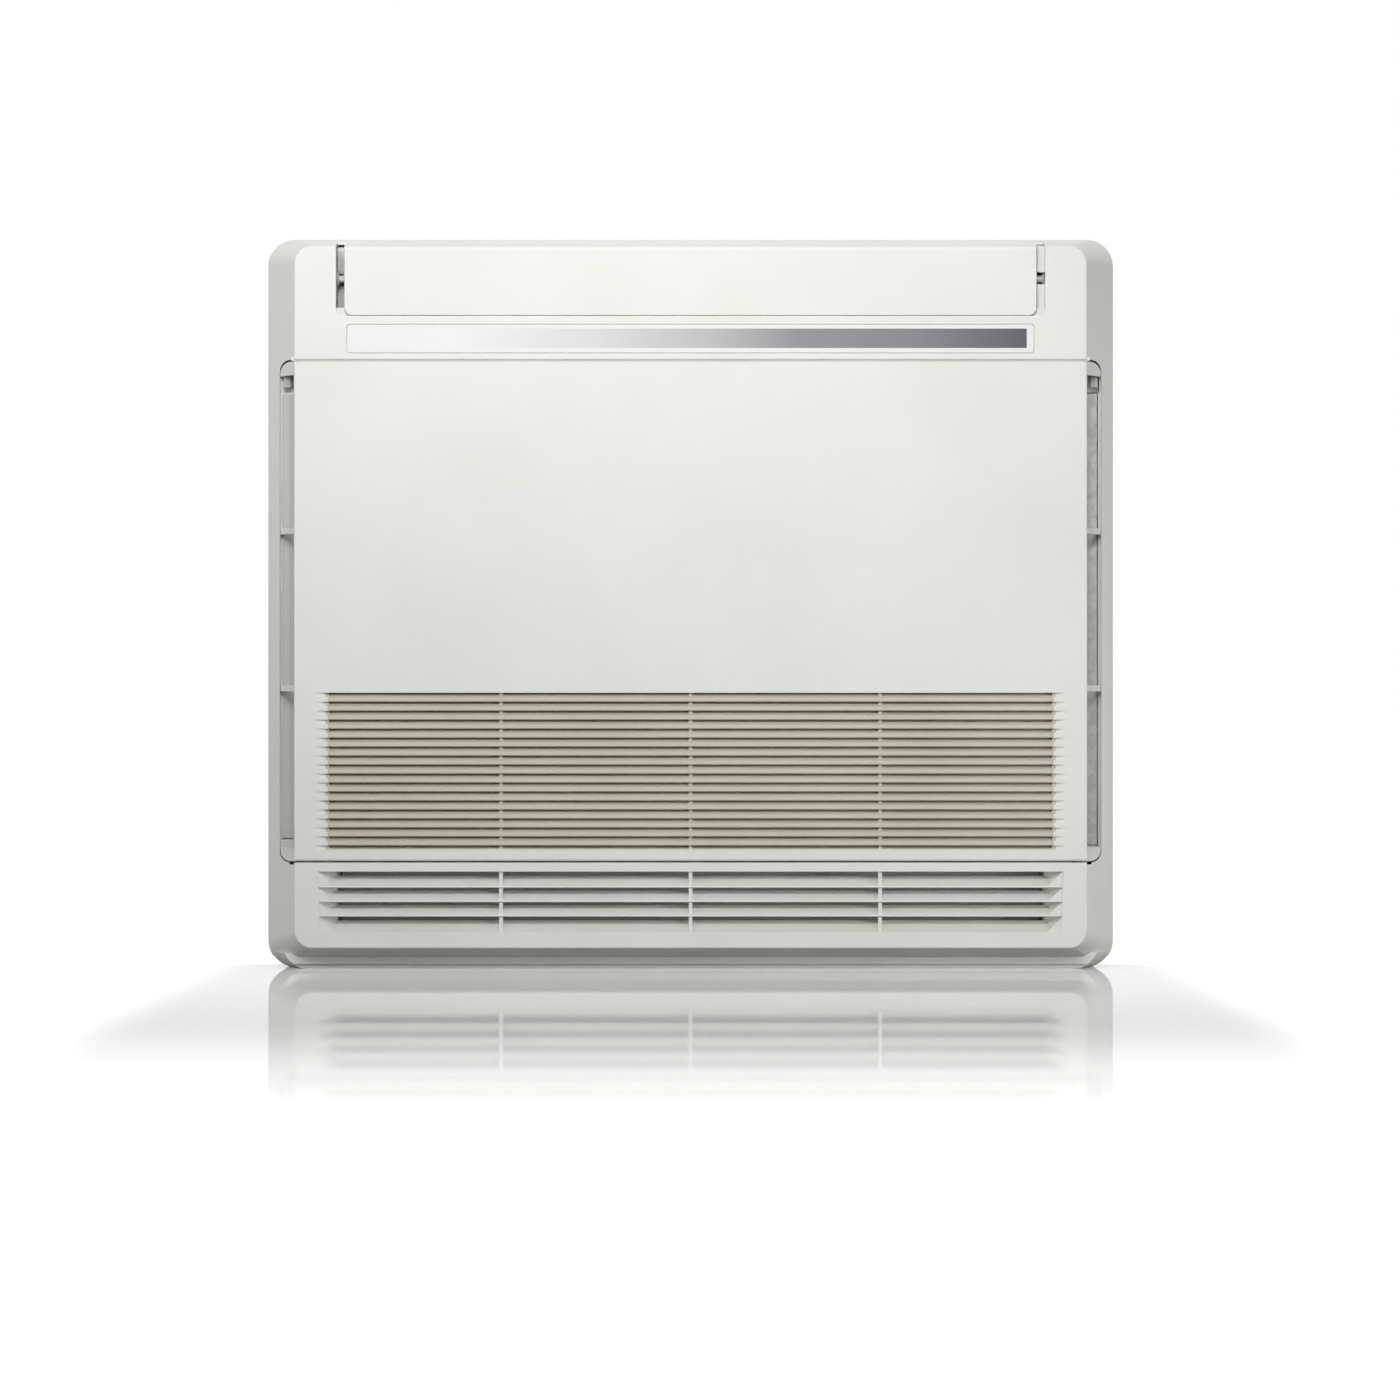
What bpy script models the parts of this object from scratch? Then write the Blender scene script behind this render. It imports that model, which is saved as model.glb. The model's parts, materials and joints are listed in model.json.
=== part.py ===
"""A slim floor console air conditioner, modelled as the assembly that its real one is.

Metres, +Z up, standing on Z = 0. The front faces -Y and the width runs along X.
"""

from math import cos, hypot, pi, radians, sin

import bmesh
import bpy
from mathutils import Matrix, Vector

# Whole unit
WIDTH = 0.720
HEIGHT = 0.620
DEPTH = 0.199
FIT = 0.0003  # left between two pieces that touch
CLEARANCE = 0.0005  # round a moulding that slides into another
PIN_CLEARANCE = 0.0004  # round a pin that turns in its hole

# Front cabinet: a moulded shell whose front face is framed by a slanted band
CABINET_WALL = 0.0025
SIDE_SLANT = 0.026
TOP_SLANT = 0.009
SLANT_DEPTH = 0.0545
FACE_BOTTOM = 0.0185
BASE_HEIGHT = 0.0095
TRAY_FLOOR = 0.0025
TRAY_WALL = 0.004
TOE_HEIGHT = 0.0042
TOE_DEPTH = 0.004
CORNER_RADIUS = 0.023
FACE_CORNER_RADIUS = 0.015
CABINET_REAR_STEP = 0.003
TOP_BAND = 0.1048  # from the top down to the front panel's opening
LOWER_BAND = 0.0888  # from the floor up to the same opening
PANEL_OPENING_MARGIN = 0.0116  # from the cabinet's side to the same opening
OPENING_RADIUS = 0.009
LEDGE_DEPTH = 0.0175  # of the shelf behind the opening's lower edge

# Front panel and its intake grille
PANEL_SIDE_GAP = 0.0008
PANEL_TOP_GAP = 0.0016
PANEL_BOTTOM_GAP = 0.0029
PANEL_EDGE_CHAMFER = 0.002
GRILLE_DEPTH = 0.008
GRILLE_SIDE_MARGIN = 0.0505
GRILLE_FIRST_SLOT = 0.0116  # above the panel's lower edge
GRILLE_SLOTS = 18
GRILLE_PITCH = 0.00758
GRILLE_SLOT_HEIGHT = 0.0036
GRILLE_SLOT_RISE = 0.0018
GRILLE_RIB = 0.0032
GRILLE_RIB_SPACING = 0.160
GRILLE_FRAME = 0.0045
SIDE_SLOT_END = 0.0115
SIDE_SLOT_BRIDGE = 0.005
SIDE_SLOT_BRIDGES = (0.146, 0.279)  # above the panel's lower edge
RETURN_LIP = 0.003
RETURN_LIP_DEPTH = 0.0155
STIFFENER = 0.0025

# Hinge at the foot of the front panel, and the latch tabs near its top
HINGE_BEHIND_FACE = 0.007
HINGE_ABOVE_EDGE = 0.0063
HINGE_PIN_RADIUS = 0.002
HINGE_PIN_LENGTH = 0.0075
HINGE_EYE_RADIUS = 0.0038
HINGE_EYE_WIDTH = 0.008
LATCH_TRAVEL = 0.004
LATCH_BELOW_TOP = 0.012
LATCH_BEHIND_FACE = 0.029
LATCH_BOSS = 0.004
LATCH_HEIGHT = 0.009
LATCH_STEM = 0.0045

# Upper outlet: flap, its pivots, the duct behind it and the vanes in the duct
OUTLET_MARGIN = 0.061
OUTLET_RADIUS = 0.008
FLAP_EDGE_DROP = 0.0677  # from the top of the unit to the flap's lower edge
FLAP_SIDE_GAP = 0.007
FLAP_BOTTOM_GAP = 0.0014
FLAP_BACK_GAP = 0.0052
FLAP_LIP = 0.026
FLAP_WALL = 0.003
FLAP_NOSE = 0.0025
FLAP_RIB_THICKNESS = 0.003
PIVOT_BEHIND_FACE = 0.0175
PIVOT_BELOW_TOP = 0.036
PIVOT_RADIUS = 0.003
BEARING_WALL = 0.002
BEARING_FLANGE = 0.0016
CHEEK_DEPTH = 0.0395
DUCT_WALL = 0.002
VANES_PER_SIDE = 5
VANE_THICKNESS = 0.0018
VANE_END_MARGIN = 0.029
VANE_MIDDLE_MARGIN = 0.046
VANE_RISE = 0.020  # from the vane's pivot to its lower edge
VANE_HEAD = 0.018  # from the vane's pivot to its upper edge
VANE_PIVOT_DROP = 0.088  # from the top of the unit to the vanes' pivots
VANE_PIN_RADIUS = 0.0015
VANE_ROOT_GAP = 0.004
VANE_FRONT_GAP = 0.0015
VANE_DEPTH = 0.068
VANE_TAIL = 0.010  # how far the plate is cut back beside the bar
VANE_CHAMFER = 0.006
VANE_PIN_ROOT = 0.004
VANE_SWING = 25  # degrees either way
LINK_ARM = 0.015
LINK_PIN_RADIUS = 0.0012
LINK_BAR_HEIGHT = 0.0095
LINK_BAR_THICKNESS = 0.003

# Display strip under the flap
DISPLAY_DROP = 0.0751  # from the top of the unit to the strip's upper edge
DISPLAY_HEIGHT = 0.0245
DISPLAY_MARGIN = 0.070
DISPLAY_SEAT = 0.0015
DISPLAY_RIM = 0.003
BOARD_THICKNESS = 0.0016
DISPLAY_BOARD_LENGTH = 0.150
DISPLAY_BOARD_GAP = 0.006

# Lower outlet: louvred grille, duct and damper
LOUVRE_MARGIN = 0.0455
LOUVRE_TOP = 0.083
LOUVRE_BOTTOM = 0.032
LOUVRE_PITCH = 0.0122
LOUVRE_BLADES = 3
LOUVRE_TOP_GAP = 0.0137  # from the opening's upper edge to the first blade's front edge
LOUVRE_RISE = 0.0044
LOUVRE_RAMP_RISE = 0.0095
LOUVRE_DEPTH = 0.0135
LOUVRE_THICKNESS = 0.0018
LOUVRE_END_TAPER = 0.002
LOUVRE_FRAME = 0.005
DAMPER_BEHIND_FACE = 0.055
DAMPER_THICKNESS = 0.003
DAMPER_EDGE_GAP = 0.0025
DAMPER_END_GAP = 0.002
DAMPER_BOSS_LENGTH = 0.010
DAMPER_BOSS_RADIUS = 0.0045
DAMPER_PIN_RADIUS = 0.0025
DAMPER_PIN_ROOT = 0.004
DAMPER_PIN_REACH = 0.002  # past the duct's wall
STEPPER_LENGTH = 0.019
STEPPER_RADIUS = 0.014
STEPPER_EAR_RADIUS = 0.0035
STEPPER_EAR = 0.001

# Things behind the front panel, counted back from its face
RAILS_BEHIND_FACE = 0.0155
RAIL_DEPTH = 0.008
RAIL_LIP = 0.0025
RAIL_CATCH = 0.005
FILTER_THICKNESS = 0.0045
FILTER_BAR = 0.008
FILTER_NET = 0.0008
FILTER_LIFT = 0.012
FILTER_FRAME_WALL = 0.003
FILTER_FRAME_OVERHANG = 0.019  # of the frame's left side, over the coil's bends
FILTER_FRAME_BAR = 0.012
BAFFLE_GAP = 0.001  # from the baffle to the panel's slanted edge
COIL_STANDOFF = 0.014
COIL_DEPTH = 0.026
COIL_SIDE_GAP = 0.020
BELL_STANDOFF = 0.0135
BELL_PLATE = 0.0022

# Fan chamber, between the lower and the upper duct
CHAMBER_FLOOR_GAP = 0.0062  # above the panel's opening
CHAMBER_ROOF_GAP = 0.0072  # below the panel's opening
PIPE_BAY = 0.057
CONTROL_BAY = 0.105
CHAMBER_WALL = 0.0025
REAR_WALL = 0.003
CASING_RIM = 0.070
FAN_RADIUS = 0.160
FAN_EYE_RADIUS = 0.113
FAN_PLATE = 0.0025
FAN_SHROUD = 0.002
FAN_SHROUD_RISE = 0.013
FAN_HUB_RADIUS = 0.062
FAN_NOSE_RADIUS = 0.050
FAN_BLADES = 8
FAN_BLADE_THICKNESS = 0.003
FAN_BLADE_ROOT_RADIUS = 0.094
FAN_REAR_SPACE = 0.038  # between the fan's back plate and the casing's rear wall
BELL_THROAT_RADIUS = 0.108
BELL_MOUTH_RADIUS = 0.124
BELL_WALL = 0.002
BELL_REACH = 0.0245
MOTOR_RADIUS = 0.045
MOTOR_FLANGE_RADIUS = 0.056
MOTOR_FLANGE = 0.004
MOTOR_BRACKET = 0.0025
MOTOR_BRACKET_RADIUS = 0.070
SHAFT_RADIUS = 0.004
NUT_RADIUS = 0.009
NUT_HEIGHT = 0.006

# Cooling coil, its pan and its pipes
PAN_WALL = 0.002
PAN_HEIGHT = 0.018
PAN_SPOUT_RADIUS = 0.008
PAN_SPOUT_LENGTH = 0.009
COIL_FOOT = 0.006
COIL_TOP_GAP = 0.012
FIN_GROOVES = 26
FIN_GROOVE = 0.008
FIN_GROOVE_DEPTH = 0.004
TUBE_SHEET = 0.0015
BEND_TUBE_RADIUS = 0.0035
BENDS = 6
BEND_PITCH = 0.0168
GAS_PIPE_RADIUS = 0.00475
LIQUID_PIPE_RADIUS = 0.0032
GAS_PIPE_OFFSET = 0.035  # from the fan chamber to the upright run in the bay
LIQUID_PIPE_OFFSET = 0.023
GAS_NUT_RADIUS = 0.0115
LIQUID_NUT_RADIUS = 0.009
FLARE_NUT_LENGTH = 0.018

# Control box in the bay beside the coil
CONTROL_WALL = 0.0015
CONTROL_SIDE_GAP = 0.0125
CONTROL_TOP_GAP = 0.030
CONTROL_FOOT_GAP = 0.034
CONTROL_DEPTH = 0.072
CONTROL_COVER_SKIRT = 0.024
CONTROL_COVER_TOP = 0.010
STANDOFF_RADIUS = 0.004
STANDOFF_LENGTH = 0.010
CONTROL_BOARD_WIDTH = 0.072
CONTROL_BOARD_BELOW = 0.090  # from the box's middle down to the board's lower edge
CONTROL_BOARD_ABOVE = 0.120
TERMINAL_HEIGHT = 0.026
TERMINAL_DEPTH = 0.018
TERMINAL_WIDTH = 0.064
TERMINALS = 5
CLAMP_WIDTH = 0.040
CLAMP_DEPTH = 0.028
CLAMP_HEIGHT = 0.012
CLAMP_BORE_RADIUS = 0.007
WIRE_ENTRY_BACK = 0.030  # from the box's front edge to the hole for the wires
BUTTON_RADIUS = 0.005
SWITCH_TRAVEL = 0.006
SWITCH_SLOT = 0.024
SWITCH_HEIGHT = 0.006
SENSOR_RADIUS = 0.003
SENSOR_LENGTH = 0.026

# Rear: pocket for the wall bracket and the knock-out for the pipes
BRACKET_LENGTH = 0.420
BRACKET_HEIGHT = 0.090
BRACKET_THICKNESS = 0.0018
BRACKET_DROP = 0.125  # from the top of the unit to the bracket's upper edge
POCKET_DEPTH = 0.004
KNOCKOUT_WIDTH = 0.030
KNOCKOUT_HEIGHT = 0.070
KNOCKOUT_Z = 0.045
KEYHOLE_RADIUS = 0.005

CORNER_STEPS = 5
ROUND_STEPS = 14
FAN_STEPS = 28
MOTOR_STEPS = 20
SMOOTH_ANGLE = radians(35)
OVERLAP = 0.0006  # how far two shapes that are joined run into each other
BEYOND = 0.010  # how far a cutter stands out of what it cuts

FRONT = -DEPTH / 2
REAR = DEPTH / 2
HALF_WIDTH = WIDTH / 2
FACE_HALF = HALF_WIDTH - SIDE_SLANT
FACE_TOP = HEIGHT - TOP_SLANT
SLANT_REAR = FRONT + SLANT_DEPTH
REAR_INSIDE = REAR - REAR_WALL
CABINET_REAR = REAR - CABINET_REAR_STEP

OPENING_HALF = HALF_WIDTH - PANEL_OPENING_MARGIN
OPENING_TOP = HEIGHT - TOP_BAND
PANEL_HALF = OPENING_HALF - PANEL_SIDE_GAP
PANEL_TOP = OPENING_TOP - PANEL_TOP_GAP
PANEL_LOW = LOWER_BAND + PANEL_BOTTOM_GAP
PANEL_BACK = FRONT + CABINET_WALL
HINGE_Y = FRONT + HINGE_BEHIND_FACE
HINGE_Z = PANEL_LOW + HINGE_ABOVE_EDGE
LIP_OUTSIDE = FACE_HALF + OVERLAP
LIP_INSIDE = LIP_OUTSIDE - RETURN_LIP
LIP_REAR = FRONT + RETURN_LIP_DEPTH

OUTLET_HALF = HALF_WIDTH - OUTLET_MARGIN
FLAP_HALF = OUTLET_HALF - FLAP_SIDE_GAP
FLAP_LOW = HEIGHT - FLAP_EDGE_DROP
OUTLET_LOW = FLAP_LOW - FLAP_BOTTOM_GAP
PIVOT_Y = FRONT + PIVOT_BEHIND_FACE
PIVOT_Z = HEIGHT - PIVOT_BELOW_TOP
FLAP_BACK = FRONT + FLAP_LIP
CHEEK_REAR = FRONT + CHEEK_DEPTH
BEARING_BORE = PIVOT_RADIUS + PIN_CLEARANCE
BEARING_RADIUS = BEARING_BORE + BEARING_WALL

RAIL_FRONT = FRONT + RAILS_BEHIND_FACE
RAIL_REAR = RAIL_FRONT + RAIL_DEPTH
COIL_FRONT = RAIL_REAR + COIL_STANDOFF
COIL_REAR = COIL_FRONT + COIL_DEPTH
BELL_FRONT = COIL_REAR + BELL_STANDOFF
BELL_BACK = BELL_FRONT + BELL_PLATE
CHAMBER_FRONT = BELL_BACK + FIT
CHAMBER_LOW = LOWER_BAND + CHAMBER_FLOOR_GAP
CHAMBER_TOP = OPENING_TOP - CHAMBER_ROOF_GAP
CHAMBER_LEFT = PIPE_BAY - HALF_WIDTH
CHAMBER_RIGHT = HALF_WIDTH - CONTROL_BAY
FAN_X = (CHAMBER_LEFT + CHAMBER_RIGHT) / 2
FAN_Z = (CHAMBER_LOW + CHAMBER_TOP) / 2
FAN_FRONT = BELL_FRONT + BELL_REACH - 0.0015
FAN_BACK = REAR_INSIDE - FAN_REAR_SPACE
MOTOR_FRONT = FAN_FRONT + FAN_SHROUD_RISE + 0.0125
FLANGE_BACK = REAR_INSIDE - 0.0085
NOSE_FRONT = FAN_FRONT + FAN_SHROUD_RISE

COIL_LEFT = CHAMBER_LEFT + FIT + TUBE_SHEET + FIT
COIL_RIGHT = CHAMBER_RIGHT - COIL_SIDE_GAP
DUCT_ROOF = LOWER_BAND + 0.0032
PAN_LOW = DUCT_ROOF + FIT
PAN_FLOOR = PAN_LOW + PAN_WALL
COIL_LOW = PAN_FLOOR + COIL_FOOT
COIL_TOP = CHAMBER_TOP - COIL_TOP_GAP

COLOURS = {
    "white abs": ((0.80, 0.80, 0.76), 0.42, 0.0),
    "grey abs": ((0.55, 0.56, 0.54), 0.50, 0.0),
    "dark abs": ((0.10, 0.10, 0.10), 0.55, 0.0),
    "smoked acrylic": ((0.35, 0.35, 0.36), 0.12, 0.0),
    "circuit board": ((0.04, 0.22, 0.09), 0.50, 0.0),
    "filter": ((0.46, 0.42, 0.36), 0.70, 0.0),
    "aluminium": ((0.78, 0.79, 0.80), 0.35, 1.0),
    "copper": ((0.72, 0.38, 0.24), 0.30, 1.0),
    "brass": ((0.75, 0.60, 0.28), 0.32, 1.0),
    "steel": ((0.60, 0.61, 0.62), 0.38, 1.0),
    "polystyrene": ((0.85, 0.85, 0.84), 0.80, 0.0),
}

parts = bpy.data.collections.new("floor_console_air_conditioner")
helpers = bpy.data.collections.new("cutters")


def clear_scene():
    for obj in list(bpy.data.objects):
        bpy.data.objects.remove(obj, do_unlink=True)
    bpy.context.scene.collection.children.link(parts)
    bpy.context.scene.collection.children.link(helpers)


def finished(name, shape, colour, pivot=(0, 0, 0), smooth=False):
    """The part's object, with its origin at the pivot, from a shape drawn in world space."""
    mesh = bpy.data.meshes.new(name)
    bmesh.ops.translate(shape, verts=shape.verts, vec=-Vector(pivot))
    shape.to_mesh(mesh)
    shape.free()
    if smooth:
        mesh.shade_smooth()
        mesh.set_sharp_from_angle(angle=SMOOTH_ANGLE)
    obj = bpy.data.objects.new(name, mesh)
    obj.location = pivot
    parts.objects.link(obj)
    rgb, roughness, metallic = COLOURS[colour]
    material = bpy.data.materials.new(f"{name} {colour}")
    material.use_nodes = True
    shader = material.node_tree.nodes["Principled BSDF"]
    shader.inputs["Base Color"].default_value = (*rgb, 1)
    shader.inputs["Roughness"].default_value = roughness
    shader.inputs["Metallic"].default_value = metallic
    material.diffuse_color = (*rgb, 1)
    mesh.materials.append(material)
    return obj


def helper(name, shape):
    """A hidden object that a Boolean works with."""
    mesh = bpy.data.meshes.new(name)
    shape.to_mesh(mesh)
    shape.free()
    obj = bpy.data.objects.new(name, mesh)
    obj.hide_render = True
    obj.display_type = "WIRE"
    helpers.objects.link(obj)
    return obj


def combine(obj, operation, name, other):
    if isinstance(other, bmesh.types.BMesh):
        other = helper(f"{obj.name} {name}", other)
    modifier = obj.modifiers.new(name, "BOOLEAN")
    modifier.operation = operation
    modifier.object = other
    modifier.solver = "EXACT"


def cut(obj, name, *shapes):
    combine(obj, "DIFFERENCE", name, together(*shapes))


def add(obj, name, *shapes):
    """Joins shapes that overlap the part but not each other."""
    combine(obj, "UNION", name, together(*shapes))


def together(*shapes):
    if len(shapes) == 1:
        return shapes[0]
    whole = bmesh.new()
    for shape in shapes:
        mesh = bpy.data.meshes.new("joined")
        shape.to_mesh(mesh)
        shape.free()
        whole.from_mesh(mesh)
        bpy.data.meshes.remove(mesh)
    return whole


def outward(shape):
    """The closed shape with all of its faces turned outwards."""
    bmesh.ops.recalc_face_normals(shape, faces=shape.faces)
    if shape.calc_volume(signed=True) < 0:
        bmesh.ops.reverse_faces(shape, faces=shape.faces)
    return shape


def box(x, y, z):
    """A box between the two limits given along each axis."""
    shape = bmesh.new()
    bmesh.ops.create_cube(shape, size=1)
    limits = (x, y, z)
    centre = Vector([(low + high) / 2 for low, high in limits])
    size = Matrix.Diagonal([high - low for low, high in limits]).to_4x4()
    bmesh.ops.transform(shape, matrix=Matrix.Translation(centre) @ size, verts=shape.verts)
    return shape


def rounded_box(x, y, z, axis, radius):
    """A box whose four edges along the axis, 0 to 2, are rounded."""
    shape = box(x, y, z)
    along = [e for e in shape.edges if abs((e.verts[0].co - e.verts[1].co)[axis]) > FIT]
    bmesh.ops.bevel(
        shape, geom=along, offset=radius, segments=CORNER_STEPS, profile=0.5, affect="EDGES"
    )
    return shape


AXIS_TURNS = {
    0: Matrix.Rotation(pi / 2, 4, "Y"),
    1: Matrix.Rotation(-pi / 2, 4, "X"),
    2: Matrix.Identity(4),
}


def rod(axis, limits, centre, radius, steps=ROUND_STEPS, far_radius=None):
    """A cylinder or cone along the axis between the limits. The centre gives the other two axes."""
    shape = bmesh.new()
    length = limits[1] - limits[0]
    bmesh.ops.create_cone(
        shape,
        cap_ends=True,
        segments=steps,
        radius1=radius,
        radius2=radius if far_radius is None else far_radius,
        depth=length,
    )
    place = list(centre)
    place.insert(axis, (limits[0] + limits[1]) / 2)
    matrix = Matrix.Translation(place) @ AXIS_TURNS[axis]
    bmesh.ops.transform(shape, matrix=matrix, verts=shape.verts)
    return shape


def evaluated_shape(obj, data, weld):
    """The closed shape of a curve, or of a mesh with its modifiers. The object and its data go."""
    helpers.objects.link(obj)
    graph = bpy.context.evaluated_depsgraph_get()
    mesh = bpy.data.meshes.new_from_object(obj.evaluated_get(graph))
    shape = bmesh.new()
    shape.from_mesh(mesh)
    bmesh.ops.transform(shape, matrix=obj.matrix_world, verts=shape.verts)
    bpy.data.objects.remove(obj, do_unlink=True)
    bpy.data.meshes.remove(mesh)
    if isinstance(data, bpy.types.Mesh):
        bpy.data.meshes.remove(data)
    else:
        bpy.data.curves.remove(data)
    bmesh.ops.remove_doubles(shape, verts=shape.verts, dist=weld)
    return outward(shape)


def extruded(outline, axis, limits):
    """A flat outline carried along the axis. Its points are in the other two axes, in order."""
    curve = bpy.data.curves.new("outline", "CURVE")
    curve.dimensions = "2D"
    curve.fill_mode = "BOTH"
    curve.extrude = (limits[1] - limits[0]) / 2
    spline = curve.splines.new("POLY")
    spline.points.add(len(outline) - 1)
    for point, (u, v) in zip(spline.points, outline):
        point.co = (u, v, 0, 1)
    spline.use_cyclic_u = True
    shape = evaluated_shape(bpy.data.objects.new("outline", curve), curve, 1e-6)
    middle = (limits[0] + limits[1]) / 2
    for vert in shape.verts:
        place = [vert.co.x, vert.co.y]
        place.insert(axis, vert.co.z + middle)
        vert.co = place
    return outward(shape)


def tube(path, radius):
    """A round solid that follows a path of points."""
    curve = bpy.data.curves.new("tube", "CURVE")
    curve.dimensions = "3D"
    curve.bevel_depth = radius
    curve.bevel_resolution = 1
    curve.use_fill_caps = True
    spline = curve.splines.new("POLY")
    spline.points.add(len(path) - 1)
    for point, place in zip(spline.points, path):
        point.co = (*place, 1)
    return evaluated_shape(bpy.data.objects.new("tube", curve), curve, 1e-5)


def wall_path(path, thickness):
    """The outline of a wall that follows the path, its thickness on the path's left."""
    offset = []
    for i, (u, v) in enumerate(path):
        sides = []
        for a, b in ((i - 1, i), (i, i + 1)):
            if 0 <= a and b < len(path):
                du = path[b][0] - path[a][0]
                dv = path[b][1] - path[a][1]
                sides.append(Vector((-dv, du)) / hypot(du, dv))
        mitre = sum(sides, Vector((0, 0))).normalized()
        reach = thickness / mitre.dot(sides[0])
        offset.append((u + mitre.x * reach, v + mitre.y * reach))
    return list(path) + offset[::-1]


def turned(profile, centre, steps):
    """A solid turned about the line along Y through the centre, (x, z). The profile has (radius, y)."""
    mesh = bpy.data.meshes.new("profile")
    count = len(profile)
    points = [(radius, 0, y) for radius, y in profile]
    mesh.from_pydata(points, [(i, (i + 1) % count) for i in range(count)], [])
    obj = bpy.data.objects.new("profile", mesh)
    obj.matrix_world = Matrix.Translation((centre[0], 0, centre[1])) @ AXIS_TURNS[1]
    screw = obj.modifiers.new("turn", "SCREW")
    screw.steps = steps
    screw.render_steps = steps
    screw.use_merge_vertices = True
    screw.merge_threshold = 0.00001
    return evaluated_shape(obj, mesh, 1e-6)


def rounded_outline(half, low, high, radius):
    """Points (x, z) of a rounded rectangle, anticlockwise as seen from the front."""
    corners = (
        (half - radius, high - radius, 0),
        (radius - half, high - radius, 90),
        (radius - half, low + radius, 180),
        (half - radius, low + radius, 270),
    )
    points = []
    for x, z, start in corners:
        for step in range(CORNER_STEPS + 1):
            angle = radians(start + 90 * step / CORNER_STEPS)
            points.append((x + radius * cos(angle), z + radius * sin(angle)))
    return points


def loft(sections, both_ends=False):
    """A shell through outlines at their depths, closed at the first. Outlines run as seen from there."""
    shape = bmesh.new()
    rings = [[shape.verts.new((x, y, z)) for x, z in outline] for y, outline in sections]
    shape.faces.new(rings[0])
    for near, far in zip(rings, rings[1:]):
        for i in range(len(near)):
            j = (i + 1) % len(near)
            shape.faces.new((near[i], far[i], far[j], near[j]))
    if both_ends:
        shape.faces.new(rings[-1][::-1])
    return shape


def solidified(obj, thickness):
    modifier = obj.modifiers.new("wall", "SOLIDIFY")
    modifier.thickness = thickness
    modifier.offset = -1
    modifier.use_even_offset = True
    modifier.use_quality_normals = True


def mirrored(limits):
    return (-limits[1], -limits[0])


def top_surface(y):
    """Height of the cabinet's top at a depth."""
    return HEIGHT - TOP_SLANT * max(0, SLANT_REAR - y) / SLANT_DEPTH


def slant_depth(x):
    """Depth of the side band's surface at a distance from the middle."""
    return FRONT + SLANT_DEPTH * (x - FACE_HALF) / SIDE_SLANT


def front_cabinet():
    outer = rounded_outline(HALF_WIDTH, 0, HEIGHT, CORNER_RADIUS)
    face = rounded_outline(FACE_HALF, FACE_BOTTOM, FACE_TOP, FACE_CORNER_RADIUS)
    shell = loft(((FRONT, face), (SLANT_REAR, outer), (CABINET_REAR, outer)))
    obj = finished("front_cabinet", shell, "white abs")
    solidified(obj, CABINET_WALL)
    sill_low = OUTLET_LOW - CABINET_WALL
    middle = CABINET_WALL / 2
    cheek = (
        (FRONT + middle, sill_low),
        (CHEEK_REAR, sill_low),
        (CHEEK_REAR, top_surface(CHEEK_REAR) - middle),
        (FRONT + middle, FACE_TOP - middle),
    )
    cheek_x = (OUTLET_HALF, OUTLET_HALF + CABINET_WALL)
    cut(
        obj,
        "openings",
        box(
            (-WIDTH, WIDTH),
            (FRONT - BEYOND, REAR + BEYOND),
            (-BEYOND, BASE_HEIGHT + FIT),
        ),
        rounded_box(
            (-OUTLET_HALF, OUTLET_HALF),
            (FRONT - BEYOND, FLAP_BACK + FLAP_BACK_GAP),
            (OUTLET_LOW, HEIGHT + 2 * BEYOND),
            1,
            OUTLET_RADIUS,
        ),
        rounded_box(
            (-OPENING_HALF, OPENING_HALF),
            (FRONT - BEYOND, slant_depth(OPENING_HALF) + 2 * BEYOND),
            (LOWER_BAND, OPENING_TOP),
            1,
            OPENING_RADIUS,
        ),
        display_pocket(0),
        louvre_opening((FRONT - BEYOND, FRONT + BEYOND), 0),
    )
    add(obj, "cheeks", extruded(cheek, 0, cheek_x), extruded(cheek, 0, mirrored(cheek_x)))
    add(
        obj,
        "sill",
        box(
            (-OUTLET_HALF - OVERLAP, OUTLET_HALF + OVERLAP),
            (FRONT + middle, RAIL_FRONT),
            (sill_low, OUTLET_LOW - FIT),
        ),
    )
    seat = (
        (FRONT + middle, OPENING_TOP + FIT),
        (FRONT + 2 * CABINET_WALL + FIT, OPENING_TOP + FIT),
        (FRONT + 2 * CABINET_WALL + FIT, OPENING_TOP - PANEL_TOP_GAP - LATCH_HEIGHT / 2),
        (RAIL_FRONT - 2 * CABINET_WALL, OPENING_TOP - PANEL_TOP_GAP - LATCH_HEIGHT / 2),
        (RAIL_FRONT - 2 * CABINET_WALL, OPENING_TOP + CABINET_WALL),
        (FRONT + middle, OPENING_TOP + CABINET_WALL),
    )
    seat_x = (-LIP_INSIDE + CLEARANCE, LIP_INSIDE - CLEARANCE)
    ledge = box(
        seat_x,
        (FRONT + middle, FRONT + LEDGE_DEPTH),
        (LOWER_BAND - CABINET_WALL, LOWER_BAND - FIT),
    )
    add(obj, "seats", extruded(seat, 0, seat_x), ledge)
    bearing_hole = BEARING_RADIUS + PIN_CLEARANCE
    cut(
        obj,
        "bearing holes",
        *(
            rod(0, limits, (PIVOT_Y, PIVOT_Z), bearing_hole)
            for limits in (grown(cheek_x), grown(mirrored(cheek_x)))
        ),
    )
    return obj


def grown(limits, by=BEYOND / 4):
    return (limits[0] - by, limits[1] + by)


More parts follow.
